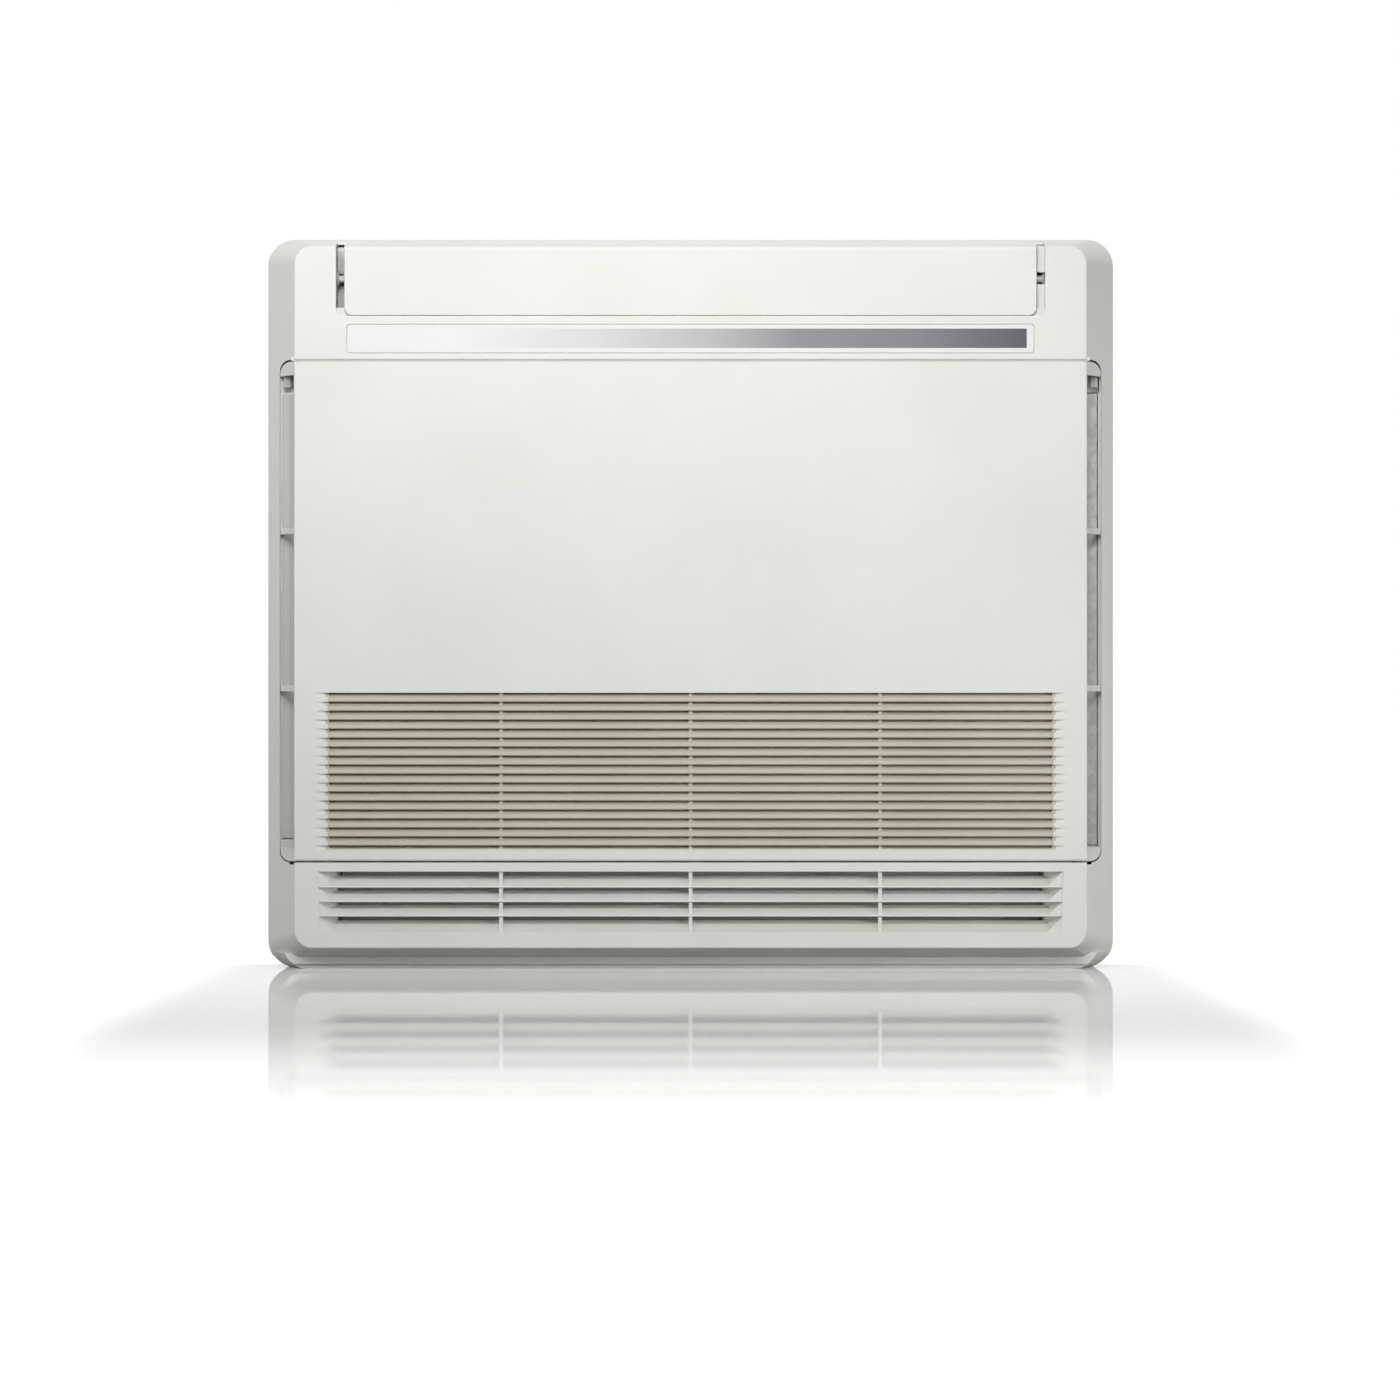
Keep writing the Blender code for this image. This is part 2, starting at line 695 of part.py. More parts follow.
def display_pocket(gap):
    """The stepped hole that holds the display window: a seat, and a smaller hole through it."""
    x = HALF_WIDTH - DISPLAY_MARGIN - gap
    high = HEIGHT - DISPLAY_DROP - gap
    low = HEIGHT - DISPLAY_DROP - DISPLAY_HEIGHT + gap
    seat = box((-x, x), (FRONT - BEYOND, FRONT + DISPLAY_SEAT), (low, high))
    bmesh.ops.delete(seat, geom=[f for f in seat.faces if f.normal.y > 0.5], context="FACES_ONLY")
    rim = [v for v in seat.verts if v.co.y > FRONT]
    rim = [next(v for v in rim if (v.co.x > 0) == a and (v.co.z > (low + high) / 2) == b)
           for a, b in ((0, 0), (1, 0), (1, 1), (0, 1))]
    inner = []
    for vert in rim:
        side = 1 if vert.co.x > 0 else -1
        up = 1 if vert.co.z > (low + high) / 2 else -1
        place = (vert.co.x - side * DISPLAY_RIM, vert.co.y, vert.co.z - up * DISPLAY_RIM)
        inner.append(seat.verts.new(place))
    back = [seat.verts.new(v.co + Vector((0, BEYOND, 0))) for v in inner]
    for i in range(4):
        j = (i + 1) % 4
        seat.faces.new((rim[i], rim[j], inner[j], inner[i]))
        seat.faces.new((inner[i], inner[j], back[j], back[i]))
    seat.faces.new(back)
    return outward(seat)


def louvre_opening(y, gap):
    """The lower outlet's hole, whose ends lean inwards from top to bottom."""
    x = HALF_WIDTH - LOUVRE_MARGIN - gap
    outline = (
        (-x, LOUVRE_TOP - gap),
        (-x + LOUVRE_END_TAPER, LOUVRE_BOTTOM + gap),
        (x - LOUVRE_END_TAPER, LOUVRE_BOTTOM + gap),
        (x, LOUVRE_TOP - gap),
    )
    return extruded(outline, 1, y)


def front_panel():
    shape = bmesh.new()
    far = OPENING_HALF + BEYOND
    low, high = PANEL_LOW - BEYOND, PANEL_TOP + BEYOND
    bend = CABINET_WALL
    run = hypot(SIDE_SLANT, SLANT_DEPTH)
    after = (FACE_HALF + bend * SIDE_SLANT / run, FRONT + bend * SLANT_DEPTH / run)
    right = [(FACE_HALF - bend, FRONT), after, (far, slant_depth(far))]
    line = [(-x, y) for x, y in right[::-1]] + right
    bottom = [shape.verts.new((x, y, low)) for x, y in line]
    top = [shape.verts.new((x, y, high)) for x, y in line]
    for i in range(len(line) - 1):
        shape.faces.new((bottom[i], bottom[i + 1], top[i + 1], top[i]))
    obj = finished("front_panel", shape, "white abs", (0, HINGE_Y, HINGE_Z))
    solidified(obj, CABINET_WALL)
    outline = rounded_box(
        (-PANEL_HALF, PANEL_HALF),
        (FRONT - BEYOND, REAR),
        (PANEL_LOW, PANEL_TOP),
        1,
        OPENING_RADIUS,
    )
    combine(obj, "INTERSECT", "outline", outline)
    lip_z = (PANEL_LOW + PANEL_EDGE_CHAMFER, PANEL_TOP - PANEL_EDGE_CHAMFER)
    lip_y = (PANEL_BACK - OVERLAP, LIP_REAR)
    lip_x = (LIP_INSIDE, LIP_OUTSIDE)
    slab = box(
        (-grille_half() - GRILLE_FRAME, grille_half() + GRILLE_FRAME),
        (PANEL_BACK - OVERLAP, FRONT + GRILLE_DEPTH),
        (grille_slot(0) - GRILLE_FRAME, grille_slot(GRILLE_SLOTS - 1) + GRILLE_FRAME + 0.003),
    )
    rib_y = (PANEL_BACK - OVERLAP, FRONT + GRILLE_DEPTH - CLEARANCE)
    rib_z = (grille_slot(GRILLE_SLOTS - 1) + GRILLE_FRAME, PANEL_TOP - 2 * LATCH_HEIGHT)
    ribs = [
        box((x - STIFFENER / 2, x + STIFFENER / 2), rib_y, rib_z)
        for x in (-GRILLE_RIB_SPACING, 0, GRILLE_RIB_SPACING)
    ]
    add(obj, "lips", box(lip_x, lip_y, lip_z), box(mirrored(lip_x), lip_y, lip_z), slab)
    latch_y, latch_z = latch_centre()
    boss_reach = LATCH_STEM / 2 + LATCH_BOSS
    boss_y = (LIP_REAR - OVERLAP, latch_y + boss_reach)
    boss_z = (latch_z - boss_reach, latch_z + boss_reach)
    bosses = (box(limits, boss_y, boss_z) for limits in (lip_x, mirrored(lip_x)))
    add(obj, "stiffeners", *ribs, *bosses)
    pin_x = (LIP_INSIDE - HINGE_PIN_LENGTH, LIP_INSIDE + OVERLAP)
    add(
        obj,
        "hinge pins",
        *(rod(0, x, (HINGE_Y, HINGE_Z), HINGE_PIN_RADIUS, 12) for x in (pin_x, mirrored(pin_x))),
    )
    cut(obj, "side slots", *side_slots())
    cut(obj, "latch holes", *(latch_stem(side, CLEARANCE, BEYOND / 4) for side in (-1, 1)))
    chamfer = (
        (FRONT - BEYOND, PANEL_LOW - BEYOND),
        (FRONT + PANEL_EDGE_CHAMFER + BEYOND, PANEL_LOW - BEYOND),
        (FRONT - BEYOND, PANEL_LOW + PANEL_EDGE_CHAMFER + BEYOND),
    )
    cut(obj, "lower edge", extruded(chamfer, 0, (-FACE_HALF, FACE_HALF)))
    cut(obj, "grille slots", *grille_slots())
    return obj


def grille_half():
    return HALF_WIDTH - GRILLE_SIDE_MARGIN


def grille_slot(index):
    """Height of a slot's middle at the face."""
    return PANEL_LOW + GRILLE_FIRST_SLOT + index * GRILLE_PITCH


def grille_slots():
    """Slots that rise towards the back, in four fields between three ribs."""
    half = grille_half()
    edges = [-half, -GRILLE_RIB_SPACING, 0, GRILLE_RIB_SPACING, half]
    slope = GRILLE_SLOT_RISE / GRILLE_DEPTH
    shapes = []
    for index in range(GRILLE_SLOTS):
        low = grille_slot(index) - GRILLE_SLOT_HEIGHT / 2
        start, end = FRONT - GRILLE_FRAME, FRONT + GRILLE_DEPTH + GRILLE_FRAME
        drop, rise = (start - FRONT) * slope, (end - FRONT) * slope
        outline = (
            (start, low + drop),
            (end, low + rise),
            (end, low + rise + GRILLE_SLOT_HEIGHT),
            (start, low + drop + GRILLE_SLOT_HEIGHT),
        )
        for left, right in zip(edges, edges[1:]):
            left += GRILLE_RIB / 2 if left > -half else 0
            right -= GRILLE_RIB / 2 if right < half else 0
            shapes.append(extruded(outline, 0, (left, right)))
    return shapes


def side_slots():
    """The air slots in the panel's slanted edges, between bridges."""
    bridges = [PANEL_LOW + z for z in SIDE_SLOT_BRIDGES]
    starts = [PANEL_LOW + SIDE_SLOT_END] + [z + SIDE_SLOT_BRIDGE / 2 for z in bridges]
    ends = [z - SIDE_SLOT_BRIDGE / 2 for z in bridges] + [PANEL_TOP - SIDE_SLOT_END]
    x = (LIP_OUTSIDE, PANEL_HALF + BEYOND)
    y = (FRONT - BEYOND, slant_depth(PANEL_HALF) + BEYOND)
    return [box(limits, y, z) for z in zip(starts, ends) for limits in (x, mirrored(x))]


def latch_centre():
    return FRONT + LATCH_BEHIND_FACE, PANEL_TOP - LATCH_BELOW_TOP - LATCH_HEIGHT / 2


def latch_stem(side, gap, longer=0):
    y, z = latch_centre()
    reach = LATCH_STEM / 2 + gap
    x = (LIP_INSIDE - CLEARANCE - OVERLAP, LIP_OUTSIDE + LATCH_TRAVEL + CLEARANCE + OVERLAP)
    if longer:
        x = (LIP_INSIDE - longer, LIP_OUTSIDE + longer)
    return box(x if side > 0 else mirrored(x), (y - reach, y + reach), (z - reach, z + reach))


def panel_latch(side):
    """A tab in the slot's upper end that slides inwards to free the panel."""
    name = "panel_latch_right" if side > 0 else "panel_latch_left"
    obj = finished(name, latch_stem(side, 0), "grey abs")
    y, z = latch_centre()
    tab_x = (LIP_OUTSIDE + LATCH_TRAVEL + FIT, LIP_OUTSIDE + 2.5 * LATCH_TRAVEL)
    head_x = (LIP_INSIDE - CLEARANCE - RETURN_LIP, LIP_INSIDE - CLEARANCE)
    tab_y = (y - LATCH_STEM, y + LATCH_STEM / 2)
    tab_z = (z - LATCH_HEIGHT / 2, z + LATCH_HEIGHT / 2)
    for limits, label in ((tab_x, "tab"), (head_x, "head")):
        add(obj, label, box(limits if side > 0 else mirrored(limits), tab_y, tab_z))
    return obj


def panel_hinge(side):
    """The eye that carries the panel's pin, on a foot that stands on the cabinet's ledge."""
    inner = LIP_INSIDE - CLEARANCE - HINGE_EYE_WIDTH
    x = (inner, LIP_INSIDE - CLEARANCE)
    x = x if side > 0 else mirrored(x)
    foot = (
        (HINGE_Y, HINGE_Z - HINGE_PIN_RADIUS),
        (HINGE_Y + HINGE_EYE_RADIUS, HINGE_Z - HINGE_EYE_RADIUS),
        (HINGE_Y + HINGE_EYE_RADIUS + 0.001, LOWER_BAND),
        (FRONT + LEDGE_DEPTH - CLEARANCE, LOWER_BAND),
        (FRONT + LEDGE_DEPTH - CLEARANCE, HINGE_Z),
        (HINGE_Y + HINGE_EYE_RADIUS, HINGE_Z + HINGE_PIN_RADIUS + FIT),
        (HINGE_Y, HINGE_Z + HINGE_PIN_RADIUS + FIT),
    )
    name = "panel_hinge_right" if side > 0 else "panel_hinge_left"
    obj = finished(name, rod(0, x, (HINGE_Y, HINGE_Z), HINGE_EYE_RADIUS, 12), "grey abs")
    add(obj, "foot", extruded(foot, 0, x))
    bore = rod(0, grown(x), (HINGE_Y, HINGE_Z), HINGE_PIN_RADIUS + PIN_CLEARANCE, 12)
    cut(obj, "bore", bore)
    return obj


def upper_flap():
    """The blade that closes the upper outlet: a front plate with a lip over the top edge."""
    nose = FLAP_NOSE
    path = [
        (FRONT, FLAP_LOW),
        (FRONT, FACE_TOP - nose),
        (FRONT + nose * 0.4, FACE_TOP - nose * 0.3),
        (FRONT + nose * 1.2, top_surface(FRONT + nose * 1.2)),
        (FLAP_BACK, top_surface(FLAP_BACK)),
    ]
    outline = wall_path(path, -FLAP_WALL)
    shape = extruded(outline, 0, (-FLAP_HALF, FLAP_HALF))
    corners = [
        e for e in shape.edges
        if abs((e.verts[0].co - e.verts[1].co).y) > FLAP_WALL / 2
        and all(abs(v.co.z - FLAP_LOW) < FIT for v in e.verts)
    ]
    bmesh.ops.bevel(
        shape,
        geom=corners,
        offset=OUTLET_RADIUS - FLAP_BOTTOM_GAP,
        segments=CORNER_STEPS,
        profile=0.5,
        affect="EDGES",
    )
    obj = finished("upper_flap", shape, "white abs", (0, PIVOT_Y, PIVOT_Z))
    web = (
        (FRONT + FLAP_WALL - OVERLAP, PIVOT_Z - 3.5 * PIVOT_RADIUS - FLAP_WALL),
        (PIVOT_Y + PIVOT_RADIUS, PIVOT_Z - 2.5 * PIVOT_RADIUS),
        (PIVOT_Y + 2.2 * PIVOT_RADIUS, PIVOT_Z),
        (PIVOT_Y + PIVOT_RADIUS, PIVOT_Z + 2.5 * PIVOT_RADIUS),
        (FRONT + FLAP_WALL - OVERLAP, PIVOT_Z + 3.5 * PIVOT_RADIUS + FLAP_WALL),
    )
    end = (FLAP_HALF - FLAP_RIB_THICKNESS, FLAP_HALF - FIT)
    third = FLAP_HALF / 3
    middle = (third - FLAP_RIB_THICKNESS / 2, third + FLAP_RIB_THICKNESS / 2)
    spans = (end, mirrored(end), middle, mirrored(middle))
    add(obj, "webs", *(extruded(web, 0, x) for x in spans))
    pin = (FLAP_HALF - FLAP_RIB_THICKNESS / 2, OUTLET_HALF + CABINET_WALL - FIT)
    pins = (rod(0, x, (PIVOT_Y, PIVOT_Z), PIVOT_RADIUS, 12) for x in (pin, mirrored(pin)))
    add(obj, "pins", *pins)
    return obj


def flap_bearing(side):
    """A flanged bush in the cabinet's cheek."""
    x = (OUTLET_HALF - BEARING_FLANGE - FIT, OUTLET_HALF + CABINET_WALL)
    flange = (OUTLET_HALF - BEARING_FLANGE - FIT, OUTLET_HALF - FIT)
    if side < 0:
        x, flange = mirrored(x), mirrored(flange)
    name = "flap_bearing_right" if side > 0 else "flap_bearing_left"
    centre = (PIVOT_Y, PIVOT_Z)
    obj = finished(name, rod(0, x, centre, BEARING_RADIUS), "grey abs")
    add(obj, "flange", rod(0, flange, centre, BEARING_RADIUS + BEARING_FLANGE))
    cut(obj, "bore", rod(0, grown(x), centre, BEARING_BORE))
    return obj


def stepper_motor(name, x, centre):
    """A small geared stepper motor: a can, and two ears for its screws."""
    ear_radius = STEPPER_EAR_RADIUS
    obj = finished(name, rod(0, x, centre, STEPPER_RADIUS, 20), "steel")
    ear_x = (x[0], x[0] + STEPPER_EAR) if x[0] > 0 else (x[1] - STEPPER_EAR, x[1])
    reach = STEPPER_RADIUS + ear_radius
    ears = rounded_box(
        ear_x,
        (centre[0] - ear_radius, centre[0] + ear_radius),
        (centre[1] - reach, centre[1] + reach),
        0,
        ear_radius * 0.6,
    )
    add(obj, "ears", ears)
    return obj


def upper_duct_walls():
    """The two walls of the upper duct as paths (y, z), each from the fan chamber to the outlet."""
    rear_start = REAR_INSIDE - 0.0045
    throat = vane_back() + VANE_ROOT_GAP
    pivot = HEIGHT - VANE_PIVOT_DROP
    front = [
        (CHAMBER_FRONT, CHAMBER_TOP),
        (CHAMBER_FRONT, pivot + 0.004),
        (CHAMBER_FRONT - 0.007, pivot + 0.011),
        (CHAMBER_FRONT - 0.022, OUTLET_LOW - 0.004),
        (RAIL_FRONT + 0.0048, OUTLET_LOW - 0.002),
    ]
    rear = [
        (rear_start, CHAMBER_TOP + 0.001),
        (throat, pivot - VANE_RISE + 0.010),
        (throat, pivot + 0.030),
        (throat - 0.012, pivot + 0.056),
        (throat - 0.040, pivot + 0.074),
        (CHEEK_REAR + CLEARANCE + DUCT_WALL, HEIGHT - 0.007),
    ]
    return front, rear


def vane_front():
    return CHAMBER_FRONT + VANE_FRONT_GAP


def vane_back():
    return vane_front() + VANE_DEPTH


def vane_places():
    """Where the vanes stand along X, the left gang first."""
    outer = OUTLET_HALF - VANE_END_MARGIN
    pitch = (outer - VANE_MIDDLE_MARGIN) / (VANES_PER_SIDE - 1)
    left = [-outer + i * pitch for i in range(VANES_PER_SIDE)]
    return left + [-x for x in left[::-1]]


def upper_outlet_duct():
    front, rear = upper_duct_walls()
    x = (-OUTLET_HALF + CLEARANCE, OUTLET_HALF - CLEARANCE)
    obj = finished("upper_outlet_duct", extruded(wall_path(front, DUCT_WALL), 0, x), "polystyrene")
    add(obj, "rear wall", extruded(wall_path(rear, -DUCT_WALL), 0, x))
    end = [(y, z) for y, z in front if y > CHEEK_REAR]
    end.append((CHEEK_REAR + CLEARANCE, front[-1][1] + FIT))
    end += [(CHEEK_REAR + CLEARANCE, rear[-1][1] + DUCT_WALL / 2)]
    end += [(y + DUCT_WALL / 2, z) for y, z in rear[-2::-1]]
    plate = (OUTLET_HALF - CLEARANCE - OVERLAP, OUTLET_HALF - CLEARANCE + DUCT_WALL)
    add(obj, "ends", extruded(end, 0, plate), extruded(end, 0, mirrored(plate)))
    pivot = HEIGHT - VANE_PIVOT_DROP
    holes = (
        rod(1, (CHAMBER_FRONT - BEYOND, vane_back() + 2 * BEYOND), (x, pivot),
            VANE_PIN_RADIUS + PIN_CLEARANCE, 8)
        for x in vane_places()
    )
    cut(obj, "vane holes", *holes)
    return obj


def guide_vane(name, x):
    """A plate on two pins, with a link pin on the tail that is cut back for the bar."""
    pivot = HEIGHT - VANE_PIVOT_DROP
    front, back = vane_front(), vane_back()
    tail = front + VANE_TAIL
    outline = (
        (tail, pivot - VANE_RISE),
        (back, pivot - VANE_RISE),
        (back, pivot + VANE_HEAD),
        (front + VANE_CHAMFER, pivot + VANE_HEAD),
        (front, pivot + VANE_HEAD - VANE_CHAMFER),
        (front, bar_top() + 7 * CLEARANCE),
        (tail, bar_top() + 2 * CLEARANCE),
    )
    half = VANE_THICKNESS / 2
    plate = extruded(outline, 0, (x - half, x + half))
    obj = finished(name, plate, "dark abs", (x, (front + back) / 2, pivot))
    front_pin = (front - VANE_FRONT_GAP - DUCT_WALL, front + VANE_PIN_ROOT)
    rear_pin = (back - VANE_PIN_ROOT, back + VANE_ROOT_GAP + DUCT_WALL)
    link_pin = (link_back() - LINK_BAR_THICKNESS - 2 * CLEARANCE, tail + VANE_PIN_ROOT)
    pins = (
        rod(1, front_pin, (x, pivot), VANE_PIN_RADIUS, 8),
        rod(1, rear_pin, (x, pivot), VANE_PIN_RADIUS, 8),
        rod(1, link_pin, (x, pivot - LINK_ARM), LINK_PIN_RADIUS, 8),
    )
    add(obj, "pins", *pins)
    return obj


def bar_top():
    return HEIGHT - VANE_PIVOT_DROP - LINK_ARM + 0.58 * LINK_BAR_HEIGHT


def link_back():
    return vane_front() + VANE_TAIL - 5 * CLEARANCE


def vane_link(name, places):
    """The bar that joins one gang's vanes. Each link pin works in an upright slot."""
    pivot = HEIGHT - VANE_PIVOT_DROP
    z = pivot - LINK_ARM
    y = (link_back() - LINK_BAR_THICKNESS, link_back())
    ends = (min(places) - 0.58 * LINK_BAR_HEIGHT, max(places) + 0.58 * LINK_BAR_HEIGHT)
    bar = rounded_box(ends, y, (bar_top() - LINK_BAR_HEIGHT, bar_top()), 1, LINK_BAR_HEIGHT / 3)
    obj = finished(name, bar, "grey abs")
    rise = LINK_ARM * (1 - cos(radians(VANE_SWING)))
    reach = LINK_PIN_RADIUS + PIN_CLEARANCE
    slots = (
        box((x - reach, x + reach), grown(y), (z - reach, z + rise + reach))
        for x in places
    )
    cut(obj, "slots", *slots)
    return obj


def display_window():
    x = HALF_WIDTH - DISPLAY_MARGIN - FIT
    high = HEIGHT - DISPLAY_DROP - FIT
    low = HEIGHT - DISPLAY_DROP - DISPLAY_HEIGHT + FIT
    y = (FRONT, FRONT + DISPLAY_SEAT - FIT)
    return finished("display_window", box((-x, x), y, (low, high)), "smoked acrylic")


def display_board():
    """The lamp and receiver board, on two posts behind the window."""
    right = HALF_WIDTH - DISPLAY_MARGIN - DISPLAY_RIM
    x = (right - DISPLAY_BOARD_LENGTH, right)
    y = FRONT + CABINET_WALL + DISPLAY_BOARD_GAP
    high = HEIGHT - DISPLAY_DROP
    low = high - DISPLAY_HEIGHT
    board = box(x, (y, y + BOARD_THICKNESS), (low, high))
    obj = finished("display_board", board, "circuit board")
    middle = (low + high) / 2
    post_y = (FRONT + CABINET_WALL + FIT, y + OVERLAP)
    post_z = (low - 0.0005, low + DISPLAY_RIM - 0.0005)
    reach = DISPLAY_RIM / 2
    posts = (
        box((centre - reach, centre + reach), post_y, post_z)
        for centre in (x[0] + 2 * DISPLAY_RIM, x[1] - 2 * DISPLAY_RIM)
    )
    lamp_y = (FRONT + CABINET_WALL + FIT, y + OVERLAP)
    lamps = (
        rod(1, lamp_y, (x[0] + DISPLAY_BOARD_LENGTH * (i + 1) / 5, middle), 0.0025, 12)
        for i in range(4)
    )
    add(obj, "lamps", *lamps, *posts)
    return obj


def lower_outlet_grille():
    """Louvre blades that slope down to the front, and a ramp under them, in a frame behind the wall."""
    x = HALF_WIDTH - LOUVRE_MARGIN
    back = FRONT + CABINET_WALL
    start, end = FRONT + FIT, FRONT + FIT + LOUVRE_DEPTH
    frame = box(
        (-x - LOUVRE_FRAME, x + LOUVRE_FRAME),
        (back + FIT, back + CABINET_WALL),
        (LOUVRE_BOTTOM - LOUVRE_FRAME, LOUVRE_TOP + LOUVRE_FRAME - CABINET_WALL - FIT),
    )
    obj = finished("lower_outlet_grille", frame, "white abs")
    cut(obj, "opening", louvre_opening((back - FIT, back + BEYOND), FIT))
    reach = x + OVERLAP
    for index in range(LOUVRE_BLADES):
        edge = LOUVRE_TOP - LOUVRE_TOP_GAP - index * LOUVRE_PITCH
        outline = (
            (start, edge),
            (end, edge + LOUVRE_RISE),
            (end, edge + LOUVRE_RISE + LOUVRE_THICKNESS),
            (start, edge + LOUVRE_THICKNESS),
        )
        add(obj, f"blade {index + 1}", extruded(outline, 0, (-reach, reach)))
    ramp = (
        (start, LOUVRE_BOTTOM - LOUVRE_THICKNESS),
        (back + CABINET_WALL, LOUVRE_BOTTOM - LOUVRE_THICKNESS),
        (end, LOUVRE_BOTTOM + LOUVRE_RAMP_RISE - LOUVRE_THICKNESS),
        (end, LOUVRE_BOTTOM + LOUVRE_RAMP_RISE),
        (start, LOUVRE_BOTTOM + FIT),
    )
    add(obj, "ramp", extruded(ramp, 0, (-reach, reach)))
    ribs = (
        box(
            (centre - GRILLE_RIB / 2, centre + GRILLE_RIB / 2),
            (start + LOUVRE_THICKNESS / 2, end - LOUVRE_THICKNESS / 2),
            (LOUVRE_BOTTOM - LOUVRE_THICKNESS / 2, LOUVRE_TOP + LOUVRE_THICKNESS / 2),
        )
        for centre in (-GRILLE_RIB_SPACING, 0, GRILLE_RIB_SPACING)
    )
    add(obj, "ribs", *ribs)
    wall = helper("cabinet wall", box((-WIDTH, WIDTH), (FRONT - BEYOND, back + FIT), (0, HEIGHT)))
    combine(wall, "DIFFERENCE", "opening", louvre_opening((FRONT - 2 * BEYOND, back + BEYOND), FIT))
    combine(obj, "DIFFERENCE", "cabinet wall", wall)
    return obj


def lower_duct_walls():
    """The roof and the floor of the lower duct as paths (y, z), each from the chamber forward."""
    roof = [
        (CHAMBER_FRONT, DUCT_ROOF - DUCT_WALL),
        (RAIL_REAR + 0.004, DUCT_ROOF - DUCT_WALL),
        (FRONT + LOUVRE_DEPTH + 0.003, LOUVRE_TOP - FIT),
    ]
    rear = REAR_INSIDE - 0.0045
    low = BASE_HEIGHT + 0.0065
    floor = [
        (rear, CHAMBER_LOW - 0.001),
        (rear, low + 0.046),
        (rear - 0.008, low + 0.022),
        (rear - 0.026, low + 0.007),
        (rear - 0.052, low),
        (FRONT + 0.040, low),
        (FRONT + LOUVRE_DEPTH + 0.003, LOUVRE_BOTTOM + LOUVRE_RAMP_RISE - LOUVRE_THICKNESS),
    ]
    return roof, floor


def lower_outlet_duct():
    roof, floor = lower_duct_walls()
    x = (-OUTLET_HALF, OUTLET_HALF)
    obj = finished("lower_outlet_duct", extruded(wall_path(roof, -DUCT_WALL), 0, x), "polystyrene")
    add(obj, "floor", extruded(wall_path(floor, DUCT_WALL), 0, x))
    half = DUCT_WALL / 2
    end = [(y, z + half) for y, z in roof[::-1]]
    end.append((floor[0][0] + half, roof[0][1] + half))
    end += [(y + half * (i < 4), z - half * (i > 2)) for i, (y, z) in enumerate(floor) if i]
    plate = (OUTLET_HALF - OVERLAP, OUTLET_HALF + DUCT_WALL)
    add(obj, "ends", extruded(end, 0, plate), extruded(end, 0, mirrored(plate)))
    y, z = damper_axis()
    holes = (
        rod(0, grown(limits), (y, z), DAMPER_PIN_RADIUS + PIN_CLEARANCE, 12)
        for limits in (plate, mirrored(plate))
    )
    cut(obj, "damper holes", *holes)
    return obj


def damper_axis():
    roof, floor = lower_duct_walls()
    return FRONT + DAMPER_BEHIND_FACE, (roof[0][1] + floor[-2][1]) / 2


def damper_blade():
    """The blade that closes the lower duct."""
    roof, floor = lower_duct_walls()
    y, z = damper_axis()
    reach = (roof[0][1] - floor[-2][1]) / 2 - DAMPER_EDGE_GAP
    end = OUTLET_HALF - DAMPER_END_GAP
    half = DAMPER_THICKNESS / 2
    blade = rounded_box((-end, end), (y - half, y + half), (z - reach, z + reach), 0, half * 0.8)
    obj = finished("damper_blade", blade, "grey abs", (0, y, z))
    pin = (end - DAMPER_PIN_ROOT, OUTLET_HALF + DUCT_WALL + DAMPER_PIN_REACH)
    boss = (end - DAMPER_BOSS_LENGTH, end)
    for limits, radius, label in (
        (boss, DAMPER_BOSS_RADIUS, "bosses"),
        (pin, DAMPER_PIN_RADIUS, "pins"),
    ):
        add(obj, label, *(rod(0, x, (y, z), radius, 12) for x in (limits, mirrored(limits))))
    return obj


def base_tray():
    """The foot of the unit, whose front lip shows under the cabinet as a pale line."""
    lip_front = SLANT_REAR - SLANT_DEPTH * (BASE_HEIGHT + FIT) / FACE_BOTTOM
    inset = SIDE_SLANT * (SLANT_REAR - lip_front) / SLANT_DEPTH
    near = rounded_outline(HALF_WIDTH - inset, 0, HEIGHT, CORNER_RADIUS)
    outer = rounded_outline(HALF_WIDTH, 0, HEIGHT, CORNER_RADIUS)
    whole = loft(((lip_front, near), (SLANT_REAR, outer), (CABINET_REAR, outer)), True)
    obj = finished("base_tray", whole, "white abs")
    inside_half = HALF_WIDTH - CORNER_RADIUS - TRAY_WALL
    inside = box(
        (-inside_half, inside_half),
        (lip_front + 2 * TRAY_WALL, CABINET_REAR - TRAY_WALL),
        (TRAY_FLOOR, BASE_HEIGHT + BEYOND),
    )
    toe = box((-WIDTH, WIDTH), (lip_front - BEYOND, lip_front + TOE_DEPTH), (-BEYOND, TOE_HEIGHT))
    above = box((-WIDTH, WIDTH), (-WIDTH, WIDTH), (BASE_HEIGHT, HEIGHT + BEYOND))
    cut(obj, "above", above)
    cut(obj, "tray", inside, toe)
    duct_low = lower_duct_walls()[1][-2][1] - DUCT_WALL - FIT
    third = OUTLET_HALF * 2 / 3
    ribs = (
        box((x - 0.002, x + 0.002), (FRONT + 0.045, REAR_INSIDE - 0.075), (TRAY_FLOOR - FIT, duct_low))
        for x in (-third, 0, third)
    )
    add(obj, "duct ribs", *ribs)
    return obj


